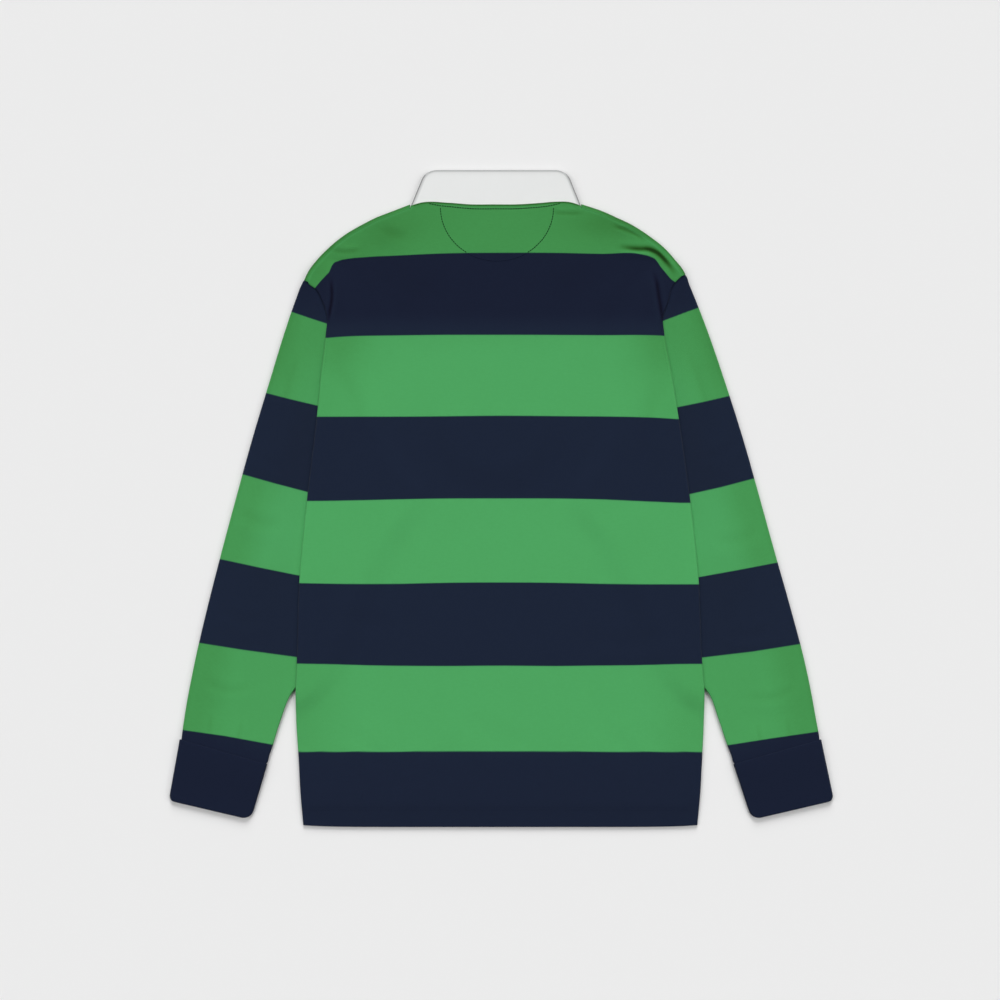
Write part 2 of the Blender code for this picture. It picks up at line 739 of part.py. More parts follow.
def collar_grid(depth):
    """The collar's stations as columns of points, for one face of its cloth."""
    radius = COLLAR_BEND + COLLAR_CLOTH / 2 - depth
    middle_level = COLLAR_UNDER + COLLAR_CLOTH / 2 + COLLAR_BEND
    columns = []
    halves = {side: collar_stations(side) for side in SIDES}
    left_crease, left = halves["left"]
    right_crease, right = halves["right"]
    back = []
    for place in COLLAR_BACK_PLACES:
        foot = mix(left[-1][0], right[-1][0], place)
        top = mix(left[-1][1], right[-1][1], place)
        back.append((foot, top, math.pi / 2))
    stations = ([(left_crease, *station) for station in left]
                + [(None, *station) for station in back]
                + [(right_crease, *station) for station in right[::-1]])
    for crease, foot, top, turn in stations:
        column = []
        for share in COLLAR_LEVELS:
            point = mix(foot, top, share)
            if crease is not None:
                point = point - crease.inward * radius * math.cos(turn)
            for rounding in (left_crease, right_crease):
                point = rounding.rounded(point)
            column.append((*point, middle_level + radius * math.sin(turn)))
        columns.append(column)
    return columns


def build_collar(finish):
    return wall("collar", finish, collar_grid(0.0), collar_grid(COLLAR_CLOTH))


# ------------------------------------------------------------------ placket, buttons, patch
STRIP_SIZES = (0.0, 9.5, 12.5)      # columns on each side of a strip's middle
BUTTON_STEPS = 16
BUTTON_PROFILE = table(
    "radius level",
    (0.0, 0.55), (4.2, 0.55), (5.4, 0.0), (6.7, 0.0), (7.5, 0.7), (7.5, 1.2),
    (6.6, BUTTON_THICK), (0.0, BUTTON_THICK),
)
PATCH_TURNS = (0, 14, 28, 42, 56, 68, 78)
PATCH_PLACES = (-1, -0.92, -0.7, -0.35, 0, 0.35, 0.7, 0.92, 1)


def strip(name, finish, panel, columns, heights, under):
    """A strip made from the front's own points, at its own level."""
    plan = [[panel.at(u, height / THROAT) for u in columns] for height in heights]
    faces = [[[(*place, under(*place) + depth) for place in row] for row in plan]
             for depth in (0.0, CLOTH)]
    return wall(name, finish, *faces)


def build_placket(finish):
    """The two strips, with the front's own rows so that they lie against it."""
    panel = front_panel_plan()
    inner = (*STRIP_SIZES, PLACKET_HALF - SEAM)
    rows = FRONT_HEIGHTS[FRONT_HEIGHTS.index(PLACKET_FOOT) + 1:]

    def columns(sizes):
        places = [-size for size in sizes[:0:-1]] + list(sizes)
        return [neck_share(place / NECK_HALF) for place in places]

    strip("placket_overlap", finish, panel, columns(inner), (PLACKET_FOOT + 2 * SEAM, *rows),
          front_under)
    strip("placket_underlap", finish, panel, columns((*inner, PLACKET_HALF + UNDERLAP_EXTRA)),
          (PLACKET_FOOT - UNDERLAP_TUCK, PLACKET_FOOT, *rows[:-1]),
          lambda x, height: front_under(x, height) + CLOTH + SEAM)


def build_button(number, height, finish):
    """A rubber button with a raised rim and a dished face, turned about its axis."""
    shape = bmesh.new()
    points = [shape.verts.new((radius * MM, 0, level * MM))
              for radius, level in zip(BUTTON_PROFILE["radius"], BUTTON_PROFILE["level"])]
    edges = [shape.edges.new(pair) for pair in zip(points, points[1:])]
    bmesh.ops.spin(shape, geom=points + edges, cent=(0, 0, 0), axis=(0, 0, 1),
                   angle=math.tau, steps=BUTTON_STEPS, use_duplicate=False)
    bmesh.ops.remove_doubles(shape, verts=shape.verts, dist=0.01 * MM)
    bmesh.ops.recalc_face_normals(shape, faces=shape.faces)
    mesh = bpy.data.meshes.new(f"button_{number}")
    shape.to_mesh(mesh)
    shape.free()
    mesh.materials.append(finish)
    mesh.shade_smooth()
    mesh.set_sharp_from_angle(angle=SHARP)
    button = bpy.data.objects.new(f"button_{number}", mesh)
    button.location = (NECK_CENTRE * MM, (height - ORIGIN_HEIGHT) * MM, 0)
    bpy.context.scene.collection.objects.link(button)


def build_patch(finish):
    """The half-moon inside the back neck, from the back's own underside."""
    top = PATCH_TOP - COLLAR_TUCK
    drop = PATCH_DROP - (BACK_NECK_EDGE(PATCH_CENTRE) - top)
    faces = []
    for depth in (0.0, PATCH_CLOTH):
        grid = []
        for turn in PATCH_TURNS:
            height = top - drop * math.sin(math.radians(turn))
            half = PATCH_HALF * math.cos(math.radians(turn))
            row = []
            for place in PATCH_PLACES:
                x = PATCH_CENTRE + half * place
                row.append((x, height, back_under(x, height) - SEAM - depth))
            grid.append(row)
        faces.append(grid)
    return wall("half_moon_patch", finish, *faces)


def build_all():
    jersey = material("striped_jersey", (0.07, 0.36, 0.11), 0.9)
    navy = material("navy_jersey", (0.012, 0.018, 0.04), 0.9)
    twill = material("white_twill", (0.78, 0.79, 0.78), 0.85)
    rubber = material("rubber_button", (0.7, 0.7, 0.67), 0.5)
    build_back(jersey)
    build_front(jersey)
    for side in SIDES:
        build_sleeve(side, jersey)
        build_cuff(side, navy)
    build_collar(twill)
    build_placket(twill)
    for number, height in enumerate(BUTTON_HEIGHTS, start=1):
        build_button(number, height, rubber)
    build_patch(jersey)


for leftover in list(bpy.data.objects):
    bpy.data.objects.remove(leftover, do_unlink=True)
build_all()
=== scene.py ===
"""A long-sleeved rugby shirt laid out flat on its front, dressed in its cloth.

Each piece is a thin wall of cloth on the form of its solid, with its creases, stripes,
knit and stitching. Sizes are in millimetres and become metres as each mesh is made. A
height is measured from the hem towards the collar, a level upwards from the table, and
left is the wearer's left, at -X.
"""
import math

import bmesh
import bpy
import numpy as np
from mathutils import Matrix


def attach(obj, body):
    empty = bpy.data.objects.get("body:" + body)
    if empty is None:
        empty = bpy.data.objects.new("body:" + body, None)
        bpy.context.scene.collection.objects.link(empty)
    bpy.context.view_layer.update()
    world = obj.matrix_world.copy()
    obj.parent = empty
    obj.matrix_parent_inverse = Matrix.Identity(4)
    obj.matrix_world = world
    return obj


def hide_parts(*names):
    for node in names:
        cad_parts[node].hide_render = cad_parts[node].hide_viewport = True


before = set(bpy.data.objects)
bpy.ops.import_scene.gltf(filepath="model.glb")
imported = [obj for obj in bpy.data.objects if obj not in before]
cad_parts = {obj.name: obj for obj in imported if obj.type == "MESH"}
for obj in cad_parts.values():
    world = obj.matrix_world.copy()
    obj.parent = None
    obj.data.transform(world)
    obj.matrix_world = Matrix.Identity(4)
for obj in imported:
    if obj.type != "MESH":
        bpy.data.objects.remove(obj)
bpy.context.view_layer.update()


def table(columns, *rows):
    """The rows as one array for each named column."""
    return dict(zip(columns.split(), np.array(rows, float).T))


def spans(*parts):
    """Evenly spaced values through parts of (start, end, number) that share their ends."""
    return np.concatenate([np.linspace(*part)[k > 0:] for k, part in enumerate(parts)])


MM = 0.001
NEAR = 0.004            # step in share of a curve that its direction is read over
SIDES = {"left": -1, "right": 1}

# ------------------------------------------------------------------ the shirt's sizes
ORIGIN_HEIGHT = 381.4   # from the hem to the origin
CLOTH = 1.2             # heavy jersey
SEAM = 0.3              # space between pieces at a seam
LOW = 3.4               # underside of the back where nothing lies beneath it
HIGH = 5.2              # underside of the back over sleeves, collar and placket
HEM_LOW = 1.8           # underside of the back at its hem
FULLNESS = 1.0          # extra rise of the back along its fold over a sleeve
SLEEVE_UNDER = 1.5      # underside of a sleeve where it lies on the front
SLEEVE_TUCKED_TOP = 4.9
SLEEVE_FREE_TOP = 4.2
# A sleeve's head under the shoulder: share of the shoulder past its tip, and inset.
HEAD = ((0.045, 1.9), (0.0, 0.5))
HEAD_CORNER = 0.12      # where it comes out from the tip, on the way to the free fold
SHOULDER_SEAM = 5.0     # the front runs this far over the shoulder's fold
BACK_SEAM = 0.12        # space from there to the back
LEAST_ROLL = 1.6        # least width of a rolled edge
FRONT_INSET = 2.0       # the front's edge lies this far inside the back's

# Where levels change, as the start and end of each slope.
SLEEVE_SLOPE = (-52.0, -18.0)
COLLAR_REACH = (120.0, 88.0)
COLLAR_SLOPE = (1.0, 1.5)
PLACKET_SLOPE = (52.0, 92.0)
SLEEVE_EXIT = (134.0, 160.0)
HEM_SLOPE = (0.0, 34.0)
FULLNESS_TOP = (548.0, 588.0)
FULLNESS_WIDTH = (9.0, 41.0)
SLEEVE_DROP = (18.0, 38.0)
SLEEVE_THINS = (4.0, 34.0)
CREASES_START = (1.0, 9.0)
CUFF_ENTRY = (0.93, 0.98)
CUFF_SLOPE = (0.1, 0.9)
TIP_BLEND = (595.0, 631.0)
SHOULDER_TURN = (0.9, 1.0)

CUFF_SEAM_TOP = 6.0
CUFF_HEM_TOP = 4.6
# Radius of each rounded corner, and how far inside it the cloth is drawn in.
CUFF_CORNERS = {"outer": (7.5, 5.0), "inner": (12.0, 7.0)}
COLLAR_CORNER = (19.0, 7.0)
CUFF_TONE = 0.72        # how strong the cuffs' navy shows

NECK_CENTRE = -6.5
NECK_HALF = 97.5
NECK_POINT = 724.0
COLLAR_CLOTH = 1.3
COLLAR_TUCK = 5.0
COLLAR_UNDER = 1.5
COLLAR_BEND = 1.05
COLLAR_TOP = 763.4
COLLAR_LEAN = {"left": 16.2, "right": 15.7}
COLLAR_POINT = 682.0    # top of the collar's front ends
COLLAR_HEIGHT = 42.0
COLLAR_END_GAP = 1.2

PLACKET_HALF = 16.0
PLACKET_FOOT = 446.0
UNDERLAP_EXTRA = 3.0
UNDERLAP_TUCK = 4.0
UNDERLAP_DROP = 7.5     # the underlap's top lies this far below the throat
COLLAR_LAP = 1.2        # the back's neck edge reaches this far past the collar's side
BUTTON_THICK = 1.8
MOUND_SLOPE = (11.5, 21.5)
BUTTON_HEIGHTS = (588.0, 531.0, 474.0)

PATCH_CLOTH = 1.0
PATCH_HALF = 65.5
PATCH_DROP = 61.0
PATCH_CENTRE = -5.2
PATCH_TOP = 718.5
PATCH_TURN = 78         # degrees of the half-moon's quarter arc down to its foot
MOON_TOP = 719.2        # the half-moon's stitch line on the back
MOON_DROP = 61.5

# Distance of each edge from the middle of the shirt.
BODY_EDGE = table(
    "height left right",
    (0, 229.9, 227.1), (45, 233.5, 230.9), (80, 235.3, 232.7), (125, 238.1, 234.7),
    (160, 238.7, 235.3), (190, 237.4, 232.8), (288, 234.3, 228.5), (385, 225.0, 218.1),
    (483, 213.4, 204.2), (525, 209.5, 197.5), (573, 203.6, 188.7), (592, 202.4, 187.3),
    (612, 208.4, 193.6), (625.5, 216.3, 197.2), (631, 223.4, 200.2), (639.5, 229.0, 210.6),
)
SHOULDER = table(
    "left left_height right right_height",
    (228.9, 635.4, 213.4, 642.0), (224.4, 645.0, 212.0, 645.0), (213.9, 659.0, 201.3, 659.0),
    (200.4, 673.0, 188.7, 673.0), (183.2, 687.0, 170.9, 687.0), (159.4, 701.0, 148.7, 701.0),
    (145.4, 708.0, 133.5, 708.0), (127.2, 715.0, 118.0, 715.0), (107.8, 722.5, 94.2, 723.0),
)
SLEEVE_OUTER = table(
    "height left right",
    (631, 231.4, 217.6), (612, 239.0, 225.4), (580, 250.0, 237.7), (515, 270.0, 260.1),
    (450, 289.5, 280.7), (385, 307.4, 299.0), (320, 324.8, 317.0), (255, 341.4, 335.4),
    (190, 356.4, 352.4), (125, 368.3, 365.1), (103, 371.1, 368.8), (93.5, 371.8, 369.5),
)
SLEEVE_INNER = table(
    "height left right",
    (392, 131.7, 122.4), (320, 167.0, 158.5), (240, 204.5, 199.0), (166, 235.2, 232.0),
    (158, 242.1, 238.9), (125, 256.2, 252.1), (93, 266.2, 263.0), (84, 269.3, 266.5),
    (76.5, 271.4, 268.7), (74.3, 273.0, 270.4), (67.5, 276.3, 273.9),
)
SLEEVE_MOUTH = table(
    "height left right",
    (640, 222.0, 206.5), (615, 206.0, 191.0), (592, 197.0, 182.0), (530, 190.0, 175.5),
    (470, 180.0, 168.0), (420, 158.0, 148.0), (392, 131.7, 122.4),
)
SLEEVE_REACH = table(
    "height left right",
    (112, 300.0, 296.0), (166, 237.0, 233.0), (240, 204.5, 199.0), (320, 167.0, 158.5),
    (392, 131.7, 122.4), (420, 150.0, 141.0), (470, 180.0, 168.0), (530, 190.0, 175.5),
    (592, 197.0, 182.0), (640, 222.0, 207.0), (665, 250.0, 236.0), (700, 300.0, 290.0),
)
# Corners of a cuff: seam and hem on its outer fold, hem and seam on its inner one.
CUFF = table(
    "height left right",
    (102.8, 373.3, 370.8), (31.9, 386.1, 385.8), (9.5, 290.8, 290.4), (74.0, 271.6, 268.9),
)
BACK_NECK = table(
    "across height",
    (-105.2, 721.4), (-94.0, 724.8), (-60.0, 724.7), (-37.0, 723.0), (-8.0, 722.9),
    (20.0, 723.0), (45.0, 724.6), (62.0, 726.0), (81.0, 725.2), (92.2, 721.4),
)
THROAT = 617.0
FRONT_NECK = table(
    "share height",
    (0.0, THROAT), (0.17, 617.4), (0.34, 624.5), (0.64, 650.0), (0.88, 689.0), (1.0, 722.0),
)

# The lines between body stripes, from the hem up: distance across the body, and height.
BODY_STRIPES = (
    ((-228, 89.1), (-120, 89.3), (0, 89.4), (120, 89.2), (224, 88.9)),
    ((-234, 190.9), (-200, 190.2), (-163, 189.0), (-71, 187.9),
     (0, 188.3), (68, 187.9), (115, 188.5), (161, 189.0), (207, 190.4), (224, 190.6)),
    ((-234, 284.3), (-200, 283.6), (-117, 283.4), (-71, 284.5),
     (0, 285.0), (68, 284.5), (115, 283.4), (161, 282.9), (207, 282.9)),
    ((-210, 379.2), (-163, 380.1), (-117, 381.2), (-71, 382.0),
     (0, 382.2), (68, 382.0), (115, 381.1), (161, 379.0), (207, 377.0)),
    ((-200, 477.1), (-71, 477.5), (0, 478.2), (68, 477.7),
     (138, 477.1), (178, 475.9), (202, 474.4)),
    ((-201, 568.3), (-187, 569.4), (-117, 571.2), (0, 571.7),
     (115, 571.4), (178, 571.1), (196, 570.3)),
    ((-216.3, 625.7), (-208.2, 635.4), (-202.5, 641.5), (-199.4, 645.1),
     (-197.2, 650.8), (-195.4, 653.9), (-189, 657.6), (-176, 660.4), (-160, 661.9),
     (-117, 664.0), (-71, 666.1), (0, 667.0), (68, 666.8), (115, 665.8), (161, 665.5),
     (172.8, 662.4), (178.6, 659.2), (184.4, 650.8), (190.2, 643.6), (196, 636.7),
     (201.8, 632.5)),
)
STRIPE = 95.0           # usual width of a stripe
# The lines between sleeve stripes, from the shoulder down: the outer fold, the middle
# and the body's edge, as distance from the middle and height.
SLEEVE_STRIPES = {
    "left": (
        ((244.2, 598.9), (223.3, 591.7), (202.4, 584.8)),
        ((272.0, 504.4), (244.8, 497.4), (214.0, 490.2)),
        ((299.9, 410.1), (263.3, 399.7), (224.5, 389.5)),
        ((326.0, 312.0), (281.9, 302.5), (234.3, 292.9)),
        ((349.7, 214.6), (300.4, 206.8), (237.8, 198.4)),
        ((369.5, 113.9), (319.0, 106.7), (265.6, 96.9)),
    ),
    "right": (
        ((230.3, 604.1), (216.9, 599.4), (187.3, 588.1)),
        ((263.9, 501.1), (235.5, 494.5), (202.4, 487.8)),
        ((292.9, 405.4), (254.0, 395.1), (218.1, 387.1)),
        ((320.7, 308.2), (272.6, 299.0), (229.1, 291.2)),
        ((342.8, 212.9), (291.2, 204.7), (233.7, 198.0)),
        ((366.0, 111.9), (309.7, 103.7), (262.7, 96.3)),
    ),
}


# ------------------------------------------------------------------ curves
class Curve:
    """A smooth curve through points, level beyond its ends."""

    def __init__(self, xs, ys):
        order = np.argsort(xs)
        self.xs = np.asarray(xs, float)[order]
        self.ys = np.asarray(ys, float)[order]
        self.slopes = np.gradient(self.ys, self.xs)

    def __call__(self, x):
        x = np.clip(x, self.xs[0], self.xs[-1])
        k = np.clip(np.searchsorted(self.xs, x) - 1, 0, len(self.xs) - 2)
        span = self.xs[k + 1] - self.xs[k]
        t = (x - self.xs[k]) / span
        start = (1 + 2 * t) * self.ys[k] + t * span * self.slopes[k]
        end = (3 - 2 * t) * self.ys[k + 1] + (t - 1) * span * self.slopes[k + 1]
        return (1 - t) ** 2 * start + t * t * end


def unit(run):
    return run / np.linalg.norm(run, axis=-1, keepdims=True)


def square_to(run):
    """The unit vector square to a run, on its left."""
    return unit(np.stack([-run[..., 1], run[..., 0]], -1))


class Path:
    """A smooth plan curve through points, read by its share of the length."""

    def __init__(self, points):
        points = np.array(points, float)
        lengths = run_lengths(points)
        self.length = lengths[-1]
        self.curves = [Curve(lengths / self.length, values) for values in points.T]

    def __call__(self, share):
        return np.stack([curve(share) for curve in self.curves], -1)

    def normal(self, share):
        """The unit normal on the left of the run."""
        share = np.asarray(share, float)
        return square_to(self(np.minimum(share + NEAR, 1.0)) - self(np.maximum(share - NEAR, 0.0)))


def edge_curves(rows):
    return {side: Curve(rows["height"], sign * rows[side]) for side, sign in SIDES.items()}


def edge_points(rows, side):
    return list(zip(SIDES[side] * rows[side], rows["height"]))


def ramp(value, ends):
    """0 up to the first end, 1 from the second, and smooth between."""
    t = np.clip((value - ends[0]) / (ends[1] - ends[0]), 0.0, 1.0)
    return t * t * (3 - 2 * t)


def mix(a, b, share):
    return a + (b - a) * share


def wide(share):
    """A share that goes with plan points."""
    return np.asarray(share, float)[..., None]


def lifted(places, levels):
    """Plan points with their levels."""
    return np.concatenate([places, levels[..., None]], -1)


def plan_of(points):
    """How far across points lie, and their heights."""
    return points[..., 0], points[..., 1]


def run_lengths(points):
    """The length run up to each point of a row, or of each row, of points."""
    steps = np.linalg.norm(np.diff(points, axis=-2), axis=-1)
    return np.concatenate([0 * steps[..., :1], np.cumsum(steps, -1)], -1)


def patch_grid(left, right, bottom, top, u, v, fade=1):
    """Plan points of the patch between four curves, a row for each v and a column for each u.

    The left and right curves' bows die away over the patch, the faster for a high fade.
    """
    u, v = wide(u)[None], wide(v)[:, None]
    bows = []
    for curve in (left, right):
        ends = mix(curve(0.0), curve(1.0), v)
        bows.append(curve(v[..., 0]) - ends)
    return (mix(bottom(u[..., 0]), top(u[..., 0]), v)
            + (1 - u) ** fade * bows[0] + u ** fade * bows[1])


BODY_SIDES = edge_curves(BODY_EDGE)
SLEEVE_SIDES = edge_curves(SLEEVE_OUTER)
REACHES = edge_curves(SLEEVE_REACH)
BACK_NECK_EDGE = Curve(*BACK_NECK.values())
FRONT_NECK_EDGE = Curve(*FRONT_NECK.values())
SHOULDERS = {side: Path(list(zip(sign * SHOULDER[side], SHOULDER[side + "_height"])))
             for side, sign in SIDES.items()}


# ------------------------------------------------------------------ how high the cloth lies
def at_side(curves, x, height):
    return np.where(x < 0, curves["left"](height), curves["right"](height))


def inside_edge(x, height):
    """How far in from the body's edge a place lies."""
    return np.abs(at_side(BODY_SIDES, x, height)) - np.abs(x)


def placket_distance(x, height):
    along = np.clip(height, BUTTON_HEIGHTS[-1], BUTTON_HEIGHTS[0])
    return np.hypot(x - NECK_CENTRE, height - along)


def front_under(x, height):
    """Underside of the front: flat, but raised over the buttons beneath it."""
    return (BUTTON_THICK + SEAM) * (1 - ramp(placket_distance(x, height), MOUND_SLOPE))


def cover(x, height):
    """1 where the back is held up by what lies beneath it, 0 where it sinks."""
    over_sleeve = ramp(np.abs(x) - np.abs(at_side(REACHES, x, height)), SLEEVE_SLOPE)
    neck = np.hypot((x - NECK_CENTRE) / COLLAR_REACH[0], (height - NECK_POINT) / COLLAR_REACH[1])
    over_collar = 1 - ramp(neck, COLLAR_SLOPE)
    over_placket = 1 - ramp(placket_distance(x, height), PLACKET_SLOPE)
    return 1 - (1 - over_sleeve) * (1 - over_collar) * (1 - over_placket)


def on_sleeve(height):
    """0 below the place where a sleeve comes out from under the back, 1 above it."""
    return ramp(height, SLEEVE_EXIT)


def low_under(height):
    return mix(HEM_LOW, LOW, ramp(height, HEM_SLOPE))


def back_under(x, height):
    """Underside of the back, before its creases."""
    full = (on_sleeve(height) * (1 - ramp(height, FULLNESS_TOP))
            * (1 - ramp(inside_edge(x, height), FULLNESS_WIDTH)))
    return mix(low_under(height), HIGH, cover(x, height)) + FULLNESS * full


def side_seam(height):
    """Level of the side seam, halfway up the lower body."""
    return (low_under(height) + CLOTH) / 2


# ------------------------------------------------------------------ creases
def beside_line(points, x, height):
    """Distance from a line of plan points, the side of it, and the share along it."""
    runs = np.diff(points, axis=0)
    steps = np.hypot(*runs.T)
    starts = np.cumsum(steps) - steps
    nearest = np.full(np.shape(x), np.inf)
    side, share = np.zeros(np.shape(x)), np.zeros(np.shape(x))
    for place, run, start, step in zip(points, runs / steps[:, None], starts, steps):
        over, up = x - place[0], height - place[1]
        along = np.clip(over * run[0] + up * run[1], 0, step)
        over, up = over - along * run[0], up - along * run[1]
        away = np.hypot(over, up)
        closer = away < nearest
        nearest = np.where(closer, away, nearest)
        side = np.where(closer, np.sign(run[0] * up - run[1] * over), side)
        share = np.where(closer, (start + along) / steps.sum(), share)
    return nearest, side, share


class Crease:
    """A soft line in the cloth: a valley between two lips.

    The second lip is lower by the skew. The shade is how much painted shade darkens the valley;
    the lips get a little painted highlight.
    """

    LIP_HIGHLIGHT = 0.2         # share of the painted shade given back as a painted highlight on the lips

    def __init__(self, points, width, lips, skew=0.0, shade=0.0):
        self.points = Path(points)(np.linspace(0, 1, 4 * len(points)))
        self.width, self.lips, self.skew, self.shade = width, lips, skew, shade

    def read(self, x, height):
        """Distance from the line in widths, height of the lips, and the crease's strength."""
        away, side, share = beside_line(self.points, x, height)
        away = away / self.width
        lips = away ** 2 * np.exp(1 - away ** 2) * (1 + self.skew * side)
        return away, lips, ramp(share, (0.0, 0.3)) * (1 - ramp(share, (0.7, 1.0)))

    def rise(self, x, height):
        _, lips, strength = self.read(x, height)
        return strength * self.lips * lips

    def painted_crease_shade(self, x, height):
        away, lips, strength = self.read(x, height)
        return self.shade * strength * (np.exp(-(away / 0.55) ** 2) - self.LIP_HIGHLIGHT * lips)


def rise_of(creases, x, height):
    return sum((crease.rise(x, height) for crease in creases), np.zeros(np.shape(x)))


def painted_crease_shade_of(creases, x, height):
    return sum((crease.painted_crease_shade(x, height) for crease in creases), np.zeros(np.shape(x)))


BACK_CREASES = (
    # at the right shoulder, round the end of the yoke stripe
    Crease([(131, 675), (146.7, 672.8), (160.7, 671.6), (169.9, 671.6), (179.2, 668.2),
            (188.5, 660), (195.5, 650.8), (203.5, 638)], 5.6, 0.7, skew=-0.5, shade=0.56),
    Crease([(164, 673), (176, 667), (187, 655), (193, 645)], 7.5, 0.1, shade=0.2),
    Crease([(126, 700), (135.1, 696.6), (149.1, 691.6), (160.7, 685.8), (168, 679.4)], 4.6, 0.5,
           skew=0.3, shade=0.2),
    Crease([(56, 714), (74, 712.5), (98, 713.5)], 4.5, 0.2, shade=0.12),
    # at the left shoulder
    Crease([(-204, 674), (-190, 669), (-172, 668.5), (-160, 671)], 4.5, 0.5, shade=0.1),
    Crease([(-142, 698), (-128, 690), (-108, 684)], 9.0, 0.35, shade=0.04),
    # down each armhole, just inside its seam
    Crease([(-197, 642), (-197, 630), (-196.5, 617), (-199, 598), (-202, 580)], 3.8, 0.6,
           skew=0.3, shade=0.6),
    Crease([(174.5, 650), (179, 636), (183, 612), (186.5, 590), (188, 572)], 4.6, 0.7,
           skew=-0.3, shade=0.6),
    # broad drags over the blades and down to the sides
    Crease([(-150, 640), (-120, 600), (-105, 540)], 24.0, 0.4),
    Crease([(158, 630), (128, 590), (116, 520)], 22.0, 0.45),
    Crease([(-196, 540), (-170, 500), (-160, 440)], 15.0, 0.35, shade=0.03),
    Crease([(186, 520), (170, 480), (165, 410)], 15.0, 0.35, shade=0.03),
    Crease([(-218, 250), (-150, 236), (-90, 240)], 18.0, 0.25),
    Crease([(214, 232), (150, 214), (84, 222)], 16.0, 0.3),
    Crease([(-60, 150), (-20, 110), (40, 96)], 22.0, 0.25),
    Crease([(-190, 120), (-150, 90), (-120, 40)], 14.0, 0.3),
    Crease([(110, 130), (150, 84), (166, 36)], 14.0, 0.3),
)
FRONT_CREASES = (
    Crease([(-24, 440), (-60, 400), (-84, 340)], 12.0, 0.6),
    Crease([(12, 436), (50, 392), (66, 330)], 12.0, 0.5),
    Crease([(-188, 560), (-150, 520), (-110, 500)], 10.0, 0.6),
    Crease([(172, 556), (140, 514), (96, 498)], 11.0, 0.6),
    Crease([(-176, 640), (-150, 600), (-140, 560)], 8.0, 0.6),
    Crease([(160, 640), (140, 604), (132, 570)], 8.0, 0.6),
    Crease([(-214, 240), (-140, 222), (-70, 236)], 16.0, 0.4),
    Crease([(210, 262), (150, 240), (70, 246)], 15.0, 0.4),
    Crease([(-120, 150), (-60, 118), (10, 122)], 18.0, 0.35),
    Crease([(60, 110), (120, 84), (180, 92)], 14.0, 0.35),
)
SLEEVE_CREASES = {
    "left": (
        Crease([(-232, 560), (-246, 520), (-252, 470)], 8.0, 0.35, shade=0.04),
        Crease([(-288, 440), (-262, 420), (-240, 424)], 10.0, 0.4, shade=0.03),
        Crease([(-306, 372), (-276, 352), (-248, 356)], 12.0, 0.45, shade=0.03),
        Crease([(-332, 258), (-300, 240), (-262, 246)], 11.0, 0.35),
        Crease([(-352, 176), (-318, 160), (-282, 166)], 9.0, 0.35, shade=0.03),
        Crease([(-300, 128), (-304, 108), (-308, 92)], 5.0, 0.4, shade=0.04),
        Crease([(-336, 134), (-338, 116), (-340, 100)], 5.0, 0.35, shade=0.04),
    ),
    "right": (
        Crease([(216, 556), (232, 512), (240, 468)], 8.0, 0.35, shade=0.04),
        Crease([(276, 452), (250, 432), (226, 436)], 10.0, 0.4, shade=0.03),
        Crease([(300, 350), (268, 332), (240, 338)], 12.0, 0.45, shade=0.03),
        Crease([(328, 238), (290, 222), (254, 230)], 11.0, 0.35),
        Crease([(344, 168), (312, 150), (278, 156)], 9.0, 0.35, shade=0.03),
        Crease([(296, 124), (300, 106), (303, 92)], 5.0, 0.4, shade=0.04),
        Crease([(330, 130), (333, 114), (335, 99)], 5.0, 0.35, shade=0.04),
    ),
}


# ------------------------------------------------------------------ stripes and tones
STRIPE_LINES = [Curve(*zip(*line)) for line in BODY_STRIPES]


def stripes_past(lines, height):
    """How many stripes lie between the first line and a height; odd ones are green."""
    return sum(np.clip((height - start) / (end - start), 0.0, 1.0)
               for start, end in zip(lines, lines[1:]))


def body_stripe(x, height):
    """Stripes counted from the hem up."""
    lines = [line(x) for line in STRIPE_LINES]
    return stripes_past([-STRIPE + 0 * x, *lines, lines[-1] + STRIPE], height)


def sleeve_stripe(side, x, height):
    """Stripes counted from the shoulder down."""
    lines = []
    for (outer, outer_at), (middle, middle_at), (inner, inner_at) in SLEEVE_STRIPES[side]:
        out = np.abs(x) - middle
        slope = np.where(out > 0, (outer_at - middle_at) / (outer - middle),
                         (inner_at - middle_at) / (inner - middle))
        lines.append(middle_at + slope * out)
    return stripes_past([lines[0] + STRIPE, *lines, lines[-1] - STRIPE], height)


# Soft patches of painted shade and painted light: across, height, half-sizes, change.
BACK_PAINTED_SHADING = (
    (-131, 690, 26, 16, -0.10), (128, 699, 34, 15, -0.11), (-118, 706, 60, 26, -0.062),
    (112, 706, 60, 26, -0.065), (-190, 560, 34, 34, -0.14), (190, 566, 34, 40, -0.16),
    (-172, 668, 34, 18, -0.08), (170, 640, 40, 40, -0.03), (-208, 651, 12, 15, -0.04),
    (0, 333, 150, 60, 0.01),
)


def bell(value, middle, width):
    """1 in the middle, dying away smoothly to both sides."""
    return np.exp(-((value - middle) / width) ** 2)


def soft_patches(patches, x, height):
    return sum(change * bell(x, across, half_width) * bell(height, up, half_height)
               for across, up, half_width, half_height, change in patches)


def painted_edge_light_and_shade(x, height):
    """Painted light and shade along the shoulders and the neck: a painted highlight along each
    shoulder seam, which stands up a little, painted shade along each shoulder's fold, and a
    painted dark line along the back's neck edge.
    """
    change = np.zeros(np.shape(x))
    for path in SHOULDERS.values():
        inset = beside_line(path(np.linspace(0, 1, 50)), x, height)[0]
        change = change + 0.13 * bell(inset, 4.8, 1.6) - 0.34 * bell(inset, 0.0, 2.6)
    in_neck = ramp(NECK_HALF - np.abs(x - NECK_CENTRE), (-1.0, 3.0))
    return change - 0.44 * in_neck * bell(height, BACK_NECK_EDGE(x) - 0.5, 1.4)


